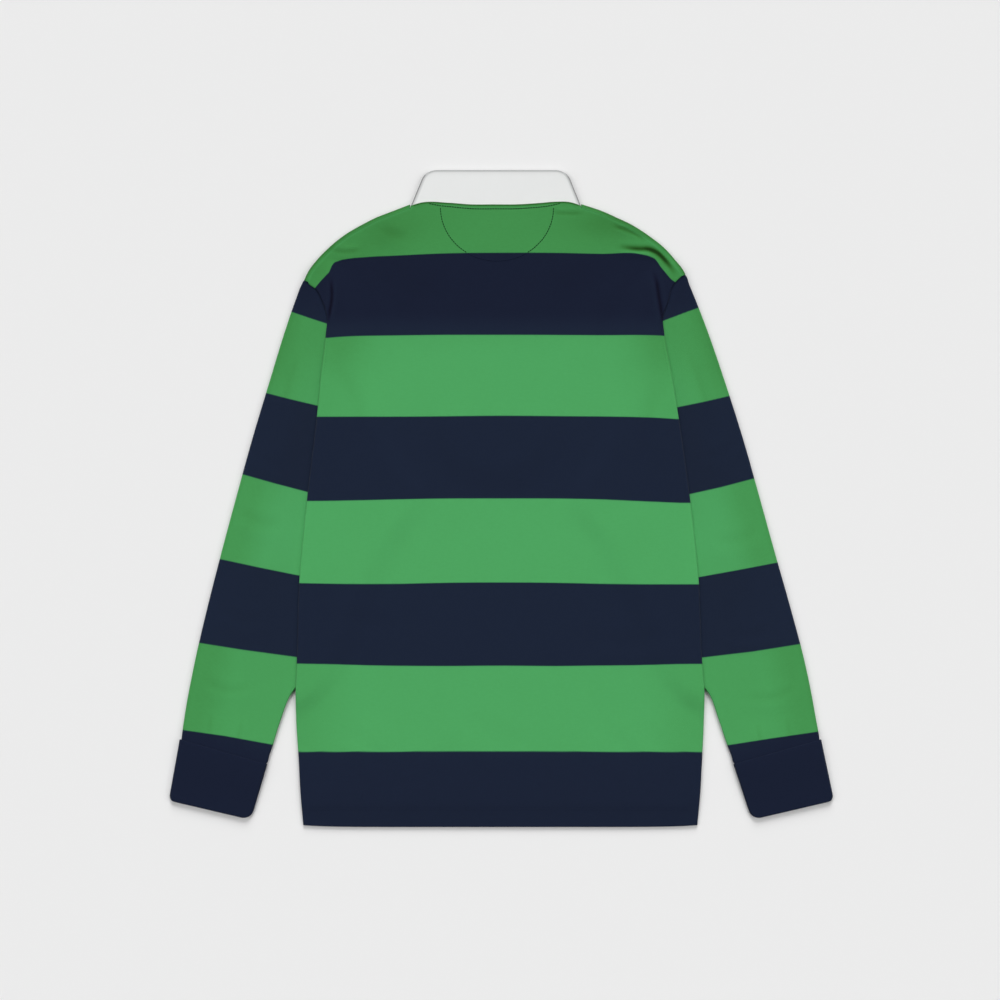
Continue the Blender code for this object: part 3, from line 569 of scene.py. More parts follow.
def back_tone_with_painted_shade(x, height):
    """How strong the green shows on the back, 1 at its brightest, with painted light and shade:
    darker up the yoke, near the sides, in patches, along the shoulders and neck and in the
    creases, lighter along the shoulder seams and on the crease lips.
    """
    # Painted shade: the yoke darker towards its top.
    tone = 0.99 - 0.25 * ramp(height, (545.0, 640.0))
    # Painted shade near the side edges, changing with height.
    sides = mix(0.08, -0.01, ramp(height, (200.0, 280.0))) + 0.066 * ramp(height, (390.0, 470.0))
    tone = tone - sides * (1 - ramp(inside_edge(x, height), (0.0, 80.0)))
    return (tone + soft_patches(BACK_PAINTED_SHADING, x, height) + painted_edge_light_and_shade(x, height)
            - painted_crease_shade_of(BACK_CREASES, x, height))


def back_navy_with_painted_shade(x, height):
    """How strong the navy shows on the back: darker near the hem, with painted shade up the yoke
    and in the creases.
    """
    hem = 0.08 * (1 - ramp(height, (60.0, 110.0)))
    return 1.0 - 0.34 * ramp(height, (575.0, 600.0)) - hem - painted_crease_shade_of(BACK_CREASES, x, height)


def front_tone_with_painted_shade(x, height):
    # Painted shade: darker up the yoke, near the side edges and in the creases.
    tone = 1.0 - 0.2 * ramp(height, (560.0, 650.0))
    tone = tone - 0.07 * (1 - ramp(inside_edge(x, height), (0.0, 80.0)))
    return tone - painted_crease_shade_of(FRONT_CREASES, x, height)


def sleeve_tone_with_painted_shade(side, x, height):
    """How strong the green shows on a sleeve, with painted light and shade: darker overall than
    the back, lighter inside towards the body, darker along its outer fold and in its creases.
    """
    inset = np.abs(SLEEVE_SIDES[side](height)) - np.abs(x)
    tone = mix(0.778, 0.83, ramp(height, (200.0, 350.0))) - 0.03 * ramp(height, (500.0, 570.0))
    inside = (0.125 * ramp(inset, (15.0, 55.0)) * (1 - ramp(height, (490.0, 600.0)))
              + 0.08 * ramp(inset, (20.0, 60.0)) * bell(height, 345.0, 75.0))
    fold = (0.08 * bell(inset, 0.0, 3.0)
            + 0.08 * (1 - ramp(inset, (2.0, 24.0))) * ramp(height, (480.0, 540.0)))
    return tone + inside - fold - painted_crease_shade_of(SLEEVE_CREASES[side], x, height)


def sleeve_navy_with_painted_shade(side, x, height, v):
    """How strong the navy shows on a sleeve, and towards its cuff at a high v, with painted shade
    near the shoulder and in the creases.
    """
    tone = mix(1.04, CUFF_TONE, ramp(v, (0.86, 0.99))) - 0.3 * ramp(height, (575.0, 628.0))
    return tone - painted_crease_shade_of(SLEEVE_CREASES[side], x, height)


# ------------------------------------------------------------------ meshes of cloth
BEVEL = 0.42            # how far the cut edges of cloth are rounded
SHARP = math.radians(50)


def select_only(piece):
    bpy.ops.object.select_all(action="DESELECT")
    piece.select_set(True)
    bpy.context.view_layer.objects.active = piece


def set_out(name, content):
    """A new object in the scene that holds a mesh, a lamp or a camera."""
    piece = bpy.data.objects.new(name, content)
    bpy.context.scene.collection.objects.link(piece)
    return piece


def apply_modifiers(piece):
    select_only(piece)
    for modifier in list(piece.modifiers):
        bpy.ops.object.modifier_apply(modifier=modifier.name)


def round_edges(piece, width, segments, angle):
    """Rounds the edges that turn by more than an angle."""
    rounding = piece.modifiers.new("rounding", "BEVEL")
    rounding.width, rounding.segments = width * MM, segments
    rounding.limit_method, rounding.angle_limit = "ANGLE", angle
    apply_modifiers(piece)


def rim_faces(number, kept, ring):
    """The faces that close a wall along the edges of its kept cells."""
    around = np.pad(kept, 1, constant_values=False)
    if ring:
        around[:, 0], around[:, -1] = around[:, -2], around[:, 1]
    a, b = number[:-1, :-1], number[:-1, 1:]
    c, d = number[1:, 1:], number[1:, :-1]
    bare = ((around[:-2, 1:-1], a, b), (around[1:-1, 2:], b, c),
            (around[2:, 1:-1], c, d), (around[1:-1, :-2], d, a))
    return [np.stack([start, end], -1)[kept & ~beside] for beside, start, end in bare]


def wall(name, outer, inner, finish, cloth=None, values=(), ring=False, kept=None):
    """One closed wall of cloth between two grids of points (across, height, level).

    In a ring each row closes on itself. kept says which cells it has. cloth is the place
    of each point on the flat cloth, and values are named numbers for each point.
    """
    rows, columns = outer.shape[:2]
    number = np.arange(rows * columns).reshape(rows, columns)
    if ring:
        number = np.hstack([number, number[:, :1]])
    if kept is None:
        kept = np.ones((rows - 1, number.shape[1] - 1), bool)
    count = rows * columns
    quads = np.stack([number[:-1, :-1], number[:-1, 1:], number[1:, 1:], number[1:, :-1]], -1)
    quads = quads[kept]
    faces = [quads, quads[:, ::-1] + count]
    for pair in rim_faces(number, kept, ring):
        start, end = pair[:, 0], pair[:, 1]
        faces.append(np.stack([end, start, start + count, end + count], -1))
    faces = np.concatenate(faces)
    points = np.concatenate([outer.reshape(-1, 3), inner.reshape(-1, 3)])
    used, faces = np.unique(faces, return_inverse=True)
    faces = faces.reshape(-1, 4)
    points = (points - (0, ORIGIN_HEIGHT, 0))[used] * MM
    mesh = bpy.data.meshes.new(name)
    mesh.from_pydata(points.tolist(), [], faces.tolist())
    cloth = outer[..., :2] if cloth is None else cloth
    cloth = np.concatenate([cloth.reshape(-1, 2)] * 2)[used] * MM
    corners = np.zeros(len(mesh.loops), np.int32)
    mesh.loops.foreach_get("vertex_index", corners)
    mesh.uv_layers.new(name="cloth").data.foreach_set("uv", cloth[corners].ravel())
    for label, grid in dict(values).items():
        layer = mesh.attributes.new(label, "FLOAT", "POINT")
        layer.data.foreach_set("value", np.concatenate([grid.ravel()] * 2)[used])
    shape = bmesh.new()
    shape.from_mesh(mesh)
    bmesh.ops.recalc_face_normals(shape, faces=shape.faces)
    shape.to_mesh(mesh)
    shape.free()
    mesh.materials.append(finish)
    piece = set_out(name, mesh)
    round_edges(piece, BEVEL, 3, SHARP)
    bpy.ops.object.shade_smooth_by_angle(angle=SHARP)
    return piece


# ------------------------------------------------------------------ body panels
NECK_START = 0.275      # shares of the width where the shoulders end
NECK_END = 0.705
NECK_STEP = 0.007       # from the end of a shoulder to the neck edge
ROLL_TURNS = np.radians((0, 14, 28, 41, 53, 64, 74, 82))
WRAP_TURNS = np.radians(np.arange(12, 181, 12))
WRAP_SLIDE = 1.7        # the wrap's end leans this far towards the collar at its fold
SLIDE_SPAN = (0.95, 1.0)
BOW_FADE = 5
FLAT_START = 0.3
HEM_START = 0.0015      # share of the height at which the cloth starts
HEM_RISE = 2.3
BACK_ROWS = spans((HEM_START, 0.86, 142), (0.86, 0.985, 58), (0.985, 1, 16))
BACK_SHOULDER = np.linspace(0, 1, 52)
BACK_NECK_PLACES = np.linspace(-1, 1, 56)
FRONT_SHOULDER = np.linspace(0, 1, 32)
SLOT_PLACE = PLACKET_HALF / NECK_HALF
FRONT_PLACES = spans((-1, -SLOT_PLACE, 20), (-SLOT_PLACE, SLOT_PLACE, 8), (SLOT_PLACE, 1, 20))
FRONT_HEIGHTS = spans((HEM_START * NECK_POINT, PLACKET_FOOT, 106), (PLACKET_FOOT, THROAT, 42))


def neck_share(place):
    """Share of the width for a place across the neck, from -1 to 1."""
    return mix(NECK_START + NECK_STEP, NECK_END - NECK_STEP, (place + 1) / 2)


def panel_columns(shoulder, neck_places):
    return np.concatenate([shoulder * NECK_START, neck_share(neck_places),
                           1 - shoulder[::-1] * (1 - NECK_END)])


def shoulder_point(side, share, inset):
    """A point on the shoulder, moved in from its fold."""
    path = SHOULDERS[side]
    return path(share) + wide(inset) * SIDES[side] * path.normal(share)


def hem_lift(x, height):
    """How far the hem rises at its ends."""
    near = np.exp(-np.maximum(inside_edge(x, height), 0.0) / 25.0)
    return HEM_RISE * near * (1 - ramp(height, (0.0, 40.0)))


class Panel:
    """The plan of the back or the front, between its rolled side edges."""

    def __init__(self, shoulder_inset, neck, roll, side_inset):
        self.shoulder_inset, self.neck = shoulder_inset, neck
        self.roll, self.side_inset = roll, side_inset
        self.sides = {side: self.side_path(side) for side in SIDES}

    def side_path(self, side):
        """The side edge and armhole, ending at the shoulder's corner."""
        corner = shoulder_point(side, 0.0, self.shoulder_inset(side, 0.0))
        across, heights = zip(*edge_points(BODY_EDGE, side)[:-1], corner)
        return Curve(heights, across)

    def side(self, side, v, extra):
        """Points of the side at shares v of its height, moved in.

        Towards the shoulder they move along the shoulder instead of square to the side.
        """
        curve = self.sides[side]
        top = curve.xs[-1]
        height = v * top
        low, high = np.maximum(v - NEAR, 0.0) * top, np.minimum(v + NEAR, 1.0) * top
        square = SIDES[side] * square_to(np.stack([curve(high) - curve(low), high - low], -1))
        shoulder = unit(SHOULDERS[side](NEAR) - SHOULDERS[side](0.0))
        inward = unit(mix(square, shoulder, wide(ramp(v, SHOULDER_TURN))))
        inset = self.side_inset(height) + extra
        return np.stack([curve(height), height], -1) + wide(inset) * inward

    def inner_side(self, side):
        top = self.sides[side].xs[-1]
        return lambda v: self.side(side, v, self.roll(v * top))

    def shoulder_share(self, side, u):
        """How far along its shoulder from the tip a column runs into it."""
        share = u / NECK_START if side == "left" else (1 - u) / (1 - NECK_END)
        top = self.sides[side].xs[-1]
        start = (self.side_inset(top) + self.roll(top)) / SHOULDERS[side].length
        return np.clip(mix(start, 1.0, share), 0.0, 1.0)

    def top(self, u):
        """The upper edge: shoulder, neck, shoulder."""
        place = 2 * (u - neck_share(-1)) / (neck_share(1) - neck_share(-1)) - 1
        edge = self.neck(np.clip(place, -1, 1))
        for side, beyond in (("left", place < -1 - 1e-6), ("right", place > 1 + 1e-6)):
            share = self.shoulder_share(side, u)
            shoulder = shoulder_point(side, share, self.shoulder_inset(side, share))
            edge = np.where(wide(beyond), shoulder, edge)
        return edge

    def bottom(self, u):
        return mix(self.inner_side("left")(0.0), self.inner_side("right")(0.0), wide(u))

    def plan(self, columns, v):
        sides = [self.inner_side(side) for side in SIDES]
        return patch_grid(*sides, self.bottom, self.top, columns, v, BOW_FADE)

    def grid(self, columns, v, level, rim):
        """Rows of points: rolled edge, patch, rolled edge.

        level(x, height) is the surface. rim(height) is the level of the edge, and how
        far in from it this face of the wall starts.
        """
        places = self.plan(columns, v)
        flat = lifted(places, level(*plan_of(places)))
        ends = []
        for side, near in (("left", flat[:, 0]), ("right", flat[:, -1])):
            outside = self.side(side, v, 0.0)
            run = outside - near[:, :2]
            width = np.linalg.norm(run, axis=-1)
            edge_level, start = rim(outside[:, 1])
            away = ((width - start) / width)[:, None] * np.cos(ROLL_TURNS)
            place = near[:, None, :2] + run[:, None] * away[..., None]
            high = mix(edge_level[:, None], near[:, None, 2], np.sin(ROLL_TURNS))
            ends.append(lifted(place, high))
        grid = np.concatenate([ends[0], flat, ends[1][:, ::-1]], 1)
        grid[..., 1] += hem_lift(*plan_of(grid))
        return grid


def back_edge_level(height):
    """Level of the back's side edge: on the side seam low down, then on the sleeve."""
    return mix(side_seam(height) + SEAM / 2, HIGH, on_sleeve(height))


def back_roll(height):
    x = BODY_SIDES["left"](height) + LEAST_ROLL
    return np.maximum(back_under(x, height) + CLOTH - back_edge_level(height), LEAST_ROLL)


def back_neck(place):
    x = NECK_CENTRE + place * (NECK_HALF + COLLAR_LAP)
    return np.stack([x, BACK_NECK_EDGE(x)], -1)


def back_top(x, height):
    """The back's upper face, with its creases."""
    return back_under(x, height) + CLOTH + rise_of(BACK_CREASES, x, height)


BACK_PANEL = Panel(lambda side, share: SHOULDER_SEAM + BACK_SEAM + 0 * share, back_neck,
                   back_roll, lambda height: 0.0 * height)


def build_back(finish):
    columns = panel_columns(BACK_SHOULDER, BACK_NECK_PLACES)

    def face(depth):
        return BACK_PANEL.grid(columns, BACK_ROWS, lambda x, height: back_top(x, height) - depth,
                               lambda height: (back_edge_level(height), depth))

    faces = face(0.0), face(CLOTH)
    x, height = plan_of(faces[0])
    values = {"stripe": body_stripe(x, height), "tone": back_tone_with_painted_shade(x, height),
              "navy": back_navy_with_painted_shade(x, height)}
    return wall("back_cloth", *faces, finish, values=values)


def shoulder_top(side, share):
    """Level of the shirt's top along the shoulder."""
    return back_under(*plan_of(shoulder_point(side, share, SHOULDER_SEAM))) + CLOTH


def front_neck(place):
    return np.stack([NECK_CENTRE + place * NECK_HALF, FRONT_NECK_EDGE(np.abs(place))], -1)


FRONT_PANEL = Panel(lambda side, share: shoulder_top(side, share) / 2, front_neck,
                    lambda height: LEAST_ROLL + 0 * height,
                    lambda height: FRONT_INSET * on_sleeve(height) * (1 - ramp(height, TIP_BLEND)))


def front_level(x, height):
    """The front's underside, with its creases, which stay within the cloth's rest."""
    return front_under(x, height) + np.maximum(rise_of(FRONT_CREASES, x, height), 0.0)


def build_front(finish):
    columns = panel_columns(FRONT_SHOULDER, FRONT_PLACES)

    def face(depth):
        def rim(height):
            flat = on_sleeve(height)
            return (mix(side_seam(height) - SEAM / 2, depth, flat),
                    depth * mix(1.0, FLAT_START, flat))

        grid = FRONT_PANEL.grid(columns, FRONT_HEIGHTS / THROAT,
                                lambda x, height: front_level(x, height) + depth, rim)
        return np.concatenate([grid, shoulder_wrap(grid[-1], columns, depth)])

    faces = face(0.0), face(CLOTH)
    shoulder = len(ROLL_TURNS) + len(FRONT_SHOULDER)
    rows, total = faces[0].shape[:2]
    row, column = np.indices((rows - 1, total - 1))
    at_shoulder = (column < shoulder - 1) | (column >= total - shoulder)
    slot = shoulder + np.flatnonzero(np.isclose(np.abs(FRONT_PLACES), SLOT_PLACE))
    foot = np.flatnonzero(np.isclose(FRONT_HEIGHTS, PLACKET_FOOT))[0]
    in_slot = (column >= slot[0]) & (column < slot[1]) & (row >= foot)
    kept = np.where(row >= len(FRONT_HEIGHTS) - 1, at_shoulder, ~in_slot)
    x, height = plan_of(faces[0])
    over = np.arange(rows)[:, None] >= len(FRONT_HEIGHTS)
    tone = np.where(over, back_tone_with_painted_shade(x, height), front_tone_with_painted_shade(x, height))
    values = {"stripe": body_stripe(x, height), "tone": tone, "navy": back_navy_with_painted_shade(x, height)}
    return wall("front_cloth", *faces, finish, values=values, kept=kept)


def shoulder_wrap(edge_row, columns, depth):
    """Rows that carry the front over the shoulder's fold to its seam."""
    count = len(ROLL_TURNS)
    u = columns[np.clip(np.arange(len(edge_row)) - count, 0, len(columns) - 1)]
    start = edge_row[:, :2]
    out, half, slide = np.zeros_like(start), np.zeros(len(start)), np.zeros_like(start)
    for side, chosen in (("left", u < 0.5), ("right", u >= 0.5)):
        share = FRONT_PANEL.shoulder_share(side, u)
        out = np.where(wide(chosen), -SIDES[side] * SHOULDERS[side].normal(share), out)
        half = np.where(chosen, shoulder_top(side, share) / 2, half)
        along = unit(SHOULDERS[side](share) - SHOULDERS[side](share - NEAR))
        slide = np.where(wide(chosen), along * wide(WRAP_SLIDE * ramp(share, SLIDE_SPAN)), slide)
    rows = []
    for turn in WRAP_TURNS:
        place = start + out * wide((half - depth) * math.sin(turn)) + slide * math.sin(turn)
        rows.append(lifted(place, half - (half - depth) * math.cos(turn)))
    rows.append(lifted(start - out * wide(SHOULDER_SEAM - half), 2 * half - depth))
    return np.array(rows)


# ------------------------------------------------------------------ sleeves and cuffs
TUBE_TURNS = np.radians(np.linspace(-90, 90, 13))
TUBE_ACROSS = np.linspace(0.02, 0.98, 34)
SLEEVE_ROWS = spans((0, 0.04, 20), (0.04, 0.96, 136), (0.96, 1, 17))
CUFF_ROWS = np.linspace(0, 1, 26)


def tube(outer, inner, across, rows, levels, depth):
    """Rings of a flat tube between an outer and an inner fold, one for each of the rows.

    across(u, v) is the plan between the folds, and levels(place, v) the tube's
    underside and top. depth is how far this face lies inside the tube.
    """
    def round_fold(path, turns):
        fold, out = path(rows)
        under, top = levels(fold, rows)
        half = ((top - under) / 2)[:, None]
        reach = half - (half - depth) * np.cos(turns)
        place = fold[:, None] - out[:, None] * reach[..., None]
        return lifted(place, under[:, None] + half + (half - depth) * np.sin(turns))

    places = across(TUBE_ACROSS, rows)
    under, top = levels(places, rows[:, None])
    over = lifted(places, top - depth)
    beneath = lifted(places, under + depth)[:, ::-1]
    return np.concatenate([round_fold(outer, TUBE_TURNS), over,
                           round_fold(inner, TUBE_TURNS[::-1]), beneath], 1)


def fold_path(points, side, inward):
    """A function of v giving a fold's points and its normals out of the tube."""
    path = Path(points)
    sign = SIDES[side] * (-1 if inward else 1)
    return lambda v: (path(v), sign * path.normal(v))


def inside_fold(fold, levels):
    """A fold's curve moved in by half the tube's height, where its flat part starts."""
    def at(v):
        point, out = fold(v)
        under, top = levels(point, v)
        return point - out * wide(top - under) / 2

    return at


def sleeve_levels(side):
    body, creases = BODY_SIDES[side], SLEEVE_CREASES[side]

    def levels(point, v):
        """Underside and top: raised on the front, down beside it, then in the cuff."""
        x, height = plan_of(point)
        beside = np.abs(x) - np.abs(body(height))
        under = SLEEVE_UNDER * (1 - ramp(beside, SLEEVE_DROP))
        top = mix(SLEEVE_TUCKED_TOP, SLEEVE_FREE_TOP, ramp(beside, SLEEVE_THINS))
        top = top + rise_of(creases, x, height) * ramp(beside, CREASES_START)
        end = ramp(v, CUFF_ENTRY)
        return mix(under, CLOTH + SEAM, end), mix(top, CUFF_SEAM_TOP - CLOTH - SEAM, end)

    return levels


def ends_joined(curve, start, end):
    """The curve moved so that it runs from start to end."""
    first, last = curve(0.0), curve(1.0)
    return lambda u: curve(u) + (1 - wide(u)) * (start - first) + wide(u) * (end - last)


def around_cloth(grid):
    """Place on the flat cloth of each point of a ring: round the tube, and down it."""
    around, down = run_lengths(grid), run_lengths(grid.mean(1))
    return np.stack([around, np.broadcast_to(-down[:, None], around.shape)], -1)


def build_sleeve(side, finish):
    free = edge_points(SLEEVE_OUTER, side)
    head = [shoulder_point(side, share, inset) for share, inset in HEAD]
    head.append(mix(SHOULDERS[side](0.0), np.array(free[0]), HEAD_CORNER))
    outer = fold_path(head + free, side, False)
    inner = fold_path(edge_points(SLEEVE_INNER, side), side, True)
    levels = sleeve_levels(side)
    outer_in, inner_in = inside_fold(outer, levels), inside_fold(inner, levels)
    mouth = ends_joined(Path(edge_points(SLEEVE_MOUTH, side)), outer_in(0.0), inner_in(0.0))

    def cuff_line(u):
        return mix(outer_in(1.0), inner_in(1.0), wide(u))

    def across(u, v):
        # The patch's own left and right are the mouth and the cuff's line.
        grid = patch_grid(mouth, cuff_line, outer_in, inner_in, v, u)
        return grid.transpose(1, 0, 2)

    faces = [tube(outer, inner, across, SLEEVE_ROWS, levels, depth) for depth in (0.0, CLOTH)]
    x, height = plan_of(faces[0])
    values = {"stripe": sleeve_stripe(side, x, height), "tone": sleeve_tone_with_painted_shade(side, x, height),
              "navy": sleeve_navy_with_painted_shade(side, x, height, SLEEVE_ROWS[:, None])}
    return wall("sleeve_cloth_" + side, *faces, finish, around_cloth(faces[0]), values, ring=True)


class Corner:
    """Rounds plan points near the corner between two edges, given by their directions."""

    def __init__(self, corner, first, second, radius, band):
        inward = unit(unit(first) + unit(second))
        self.half_angle = math.acos(inward @ unit(first))
        self.radius, self.band = radius, band
        self.centre = corner + inward * radius / math.sin(self.half_angle)
        self.outward = -inward

    def rounded(self, point):
        off = point - self.centre
        reach = np.linalg.norm(off, axis=-1)
        start = self.radius - self.band
        angle = np.arccos(np.clip(off @ self.outward / np.maximum(reach, 1e-6), -1.0, 1.0))
        wedge = math.pi / 2 - self.half_angle
        limit = self.radius / np.cos(np.clip(wedge - angle, 0.0, wedge))
        share = (reach - start) / (limit - start)
        drawn = self.centre + off * wide((start + share * self.band) / np.maximum(reach, 1e-6))
        return np.where(wide((reach > start) & (angle < wedge)), drawn, point)


def build_cuff(side, finish):
    seam_outer, hem_outer, hem_inner, seam_inner = (
        np.array(point) for point in edge_points(CUFF, side))
    corners = (Corner(hem_inner, seam_inner - hem_inner, hem_outer - hem_inner,
                      *CUFF_CORNERS["inner"]),
               Corner(hem_outer, seam_outer - hem_outer, hem_inner - hem_outer,
                      *CUFF_CORNERS["outer"]))

    def levels(point, v):
        under = 0.0 * point[..., 0]
        return under, under + mix(CUFF_SEAM_TOP, CUFF_HEM_TOP, ramp(v, CUFF_SLOPE))

    def fold(start, end, sign):
        out = sign * SIDES[side] * square_to(end - start)
        return lambda v: (mix(start, end, wide(v)), np.broadcast_to(out, np.shape(v) + (2,)))

    outer, inner = fold(seam_outer, hem_outer, 1), fold(seam_inner, hem_inner, -1)
    outer_in, inner_in = inside_fold(outer, levels), inside_fold(inner, levels)

    def across(u, v):
        return mix(outer_in(v)[:, None], inner_in(v)[:, None], wide(u))

    def face(depth):
        grid = tube(outer, inner, across, CUFF_ROWS, levels, depth)
        for corner in corners:
            grid[..., :2] = corner.rounded(grid[..., :2])
        return grid

    faces = face(0.0), face(CLOTH)
    tone = CUFF_TONE + 0 * faces[0][..., 0]
    return wall("cuff_cloth_" + side, *faces, finish, around_cloth(faces[0]), {"navy": tone},
                ring=True)


# ------------------------------------------------------------------ collar
BEND_TURNS = np.radians(np.linspace(-90, 90, 13))
COLLAR_LEVELS = spans((0, 0.9, 20), (0.9, 1, 10))
COLLAR_MIDDLE_ROW = 12
COLLAR_BACK_PLACES = np.linspace(0.0, 1.0, 64)[1:-1]
COLLAR_FRONT_PLACES = np.linspace(1.0, 0.0, 44)[:-1]
BASE_BLEND = (0.0, 0.2)


class Bend:
    """One side bend of the collar, along a line that leans in towards the top."""

    def __init__(self, side):
        self.side = side
        across = NECK_CENTRE + SIDES[side] * NECK_HALF
        foot = np.array([across, NECK_POINT])
        self.corner = np.array([across - SIDES[side] * COLLAR_LEAN[side], COLLAR_TOP])
        run = unit(self.corner - foot)
        self.foot = foot - run * COLLAR_TUCK
        self.inward = SIDES[side] * square_to(run)
        self.rounding = Corner(self.corner, np.array([-SIDES[side], 0.0]), -run, *COLLAR_CORNER)


def collar_front(bend):
    """Feet and tops of the collar from its front end to its side bend."""
    sign = SIDES[bend.side]
    width = COLLAR_BEND + COLLAR_CLOTH / 2
    foot, corner = bend.foot + bend.inward * width, bend.corner + bend.inward * width
    end_x = NECK_CENTRE + sign * COLLAR_END_GAP
    place = COLLAR_FRONT_PLACES
    share = mix(1.0, COLLAR_END_GAP / NECK_HALF, place)
    run = front_neck(sign * np.minimum(share + NEAR, 1.0)) - front_neck(sign * (share - NEAR))
    neck = front_neck(sign * share) - sign * square_to(run) * COLLAR_TUCK
    base = mix(foot, neck, wide(ramp(place, BASE_BLEND)))
    base[0, 0] = end_x
    top = mix(corner, np.array([end_x, COLLAR_POINT]), wide(place))
    return (np.concatenate([base, np.repeat(foot[None], len(BEND_TURNS), 0)]),
            np.concatenate([top, np.repeat(corner[None], len(BEND_TURNS), 0)]))


def collar_grid(depth):
    """The collar's points for one face of its cloth, from the left front to the right."""
    radius = COLLAR_BEND + COLLAR_CLOTH / 2 - depth
    middle_level = COLLAR_UNDER + COLLAR_CLOTH / 2 + COLLAR_BEND
    bends = [Bend(side) for side in SIDES]
    turns = np.concatenate([np.full(len(COLLAR_FRONT_PLACES), -math.pi / 2), BEND_TURNS])
    left, right = ((*collar_front(bend), -bend.inward * wide(radius * np.cos(turns)))
                   for bend in bends)
    place = wide(COLLAR_BACK_PLACES)
    feet = np.concatenate([left[0], mix(left[0][-1], right[0][-1], place), right[0][::-1]])
    tops = np.concatenate([left[1], mix(left[1][-1], right[1][-1], place), right[1][::-1]])
    out = np.concatenate([left[2], np.zeros((len(place), 2)), right[2][::-1]])
    turns = np.concatenate([turns, np.full(len(place), math.pi / 2), turns[::-1]])
    share = COLLAR_LEVELS[:, None, None]
    points = mix(feet[None], tops[None], share) + out[None]
    for bend in bends:
        points = bend.rounding.rounded(points)
    level = middle_level + radius * np.sin(turns)
    return lifted(points, np.broadcast_to(level, points.shape[:2]))


def build_collar(finish):
    outer, inner = collar_grid(0.0), collar_grid(COLLAR_CLOTH)
    up = np.broadcast_to(COLLAR_LEVELS[:, None], outer.shape[:2])
    along = np.broadcast_to(run_lengths(outer[COLLAR_MIDDLE_ROW]), outer.shape[:2])
    left = len(COLLAR_FRONT_PLACES) + len(BEND_TURNS) // 2
    right = outer.shape[1] - 1 - left
    outline = np.concatenate([outer[:, left], outer[-1, left:right], outer[::-1, right]])
    outline = outline[np.append(np.linalg.norm(np.diff(outline, axis=0), axis=-1) > 1e-6, True)]
    inset = beside_line(outline[:, :2], *plan_of(outer))[0]
    # Painted shade: a greyer band under the top edge, a painted dark line along the outline and
    # darker places towards the bends.
    tone = 1.0 - 0.06 * ramp(up, (0.8, 1.0))
    edge = mix(0.85, 0.46, ramp(up, (0.8, 1.0))) * bell(inset, 0.0, 1.8)
    corner = np.abs(outer[..., 0] - NECK_CENTRE)
    tone = tone - edge - 0.04 * ramp(corner, (72.0, 90.0)) * ramp(up, (0.3, 1.0))
    cloth = np.stack([along, up * COLLAR_HEIGHT], -1)
    return wall("collar_cloth", outer, inner, finish, cloth, {"tone": tone})


# ------------------------------------------------------------------ placket and patch
STRIP_COLUMNS = 15
STRIP_ROWS = 64
PATCH_COLUMNS = 36
PATCH_ROWS = 24


def strip(name, finish, half, foot, top, under):
    """A strip made from the front's own points, at its own level."""
    heights = np.linspace(foot, top, STRIP_ROWS)
    places = np.linspace(-half, half, STRIP_COLUMNS) / NECK_HALF
    plan = FRONT_PANEL.plan(neck_share(places), heights / THROAT)
    level = under(*plan_of(plan))
    tone = 1.0 + 0 * level
    return wall(name, lifted(plan, level), lifted(plan, level + CLOTH), finish,
                values={"tone": tone})


def underlap_under(x, height):
    return front_under(x, height) + CLOTH + SEAM


def build_placket(finish):
    """The two strips, the overlap outermost."""
    overlap = strip("placket_overlap_cloth", finish, PLACKET_HALF - SEAM,
                    PLACKET_FOOT + 2 * SEAM, THROAT, front_under)
    underlap = strip("placket_underlap_cloth", finish, PLACKET_HALF + UNDERLAP_EXTRA,
                     PLACKET_FOOT - UNDERLAP_TUCK, THROAT - UNDERLAP_DROP, underlap_under)
    return overlap, underlap


def build_patch(finish):
    """The half-moon inside the back neck, from the back's own underside."""
    top = PATCH_TOP - COLLAR_TUCK
    drop = PATCH_DROP - (BACK_NECK_EDGE(PATCH_CENTRE) - top)
    turns = np.radians(np.linspace(0, PATCH_TURN, PATCH_ROWS))[:, None]
    height = top - drop * np.sin(turns) + np.zeros(PATCH_COLUMNS)
    x = PATCH_CENTRE + PATCH_HALF * np.cos(turns) * np.linspace(-1, 1, PATCH_COLUMNS)
    under = back_under(x, height) - SEAM
    place = np.stack([x, height], -1)
    values = {"stripe": 0 * x + 1.5, "tone": 0 * x + 0.9, "navy": 0 * x + 0.9}
    return wall("half_moon_cloth", lifted(place, under), lifted(place, under - PATCH_CLOTH),
                finish, values=values)


# ------------------------------------------------------------------ finishes
WALE = 0.00125          # width of one column of knit loops
COURSE = 0.00095        # height of one row of knit loops
TWILL = 0.0009          # from one twill line to the next
STRIPE_EDGE = 26.0      # how sharply one stripe's yarn gives way to the next


class Value:
    """A shader socket that takes part in expressions."""

    def __init__(self, finish, socket):
        self.finish, self.socket = finish, socket

    def math(self, operation, *others):
        return self.finish.node("ShaderNodeMath", {"operation": operation},
                                dict(enumerate((self, *others))))

    def __add__(self, other):
        return self.math("ADD", other)

    def __mul__(self, other):
        return self.math("MULTIPLY", other)

    __radd__, __rmul__ = __add__, __mul__

    def __sub__(self, other):
        return self.math("SUBTRACT", other)

    def __rsub__(self, other):
        return (self * -1.0) + other

    def __truediv__(self, other):
        return self.math("DIVIDE", other)

    def power(self, exponent):
        return self.math("POWER", exponent)

    def sine(self):
        return self.math("SINE")

    def zigzag(self):
        """From 0 at whole numbers to 1 halfway between them."""
        return self.math("PINGPONG", 0.5) * 2.0

    def clamped(self):
        return self.finish.node("ShaderNodeClamp", {}, {"Value": self})


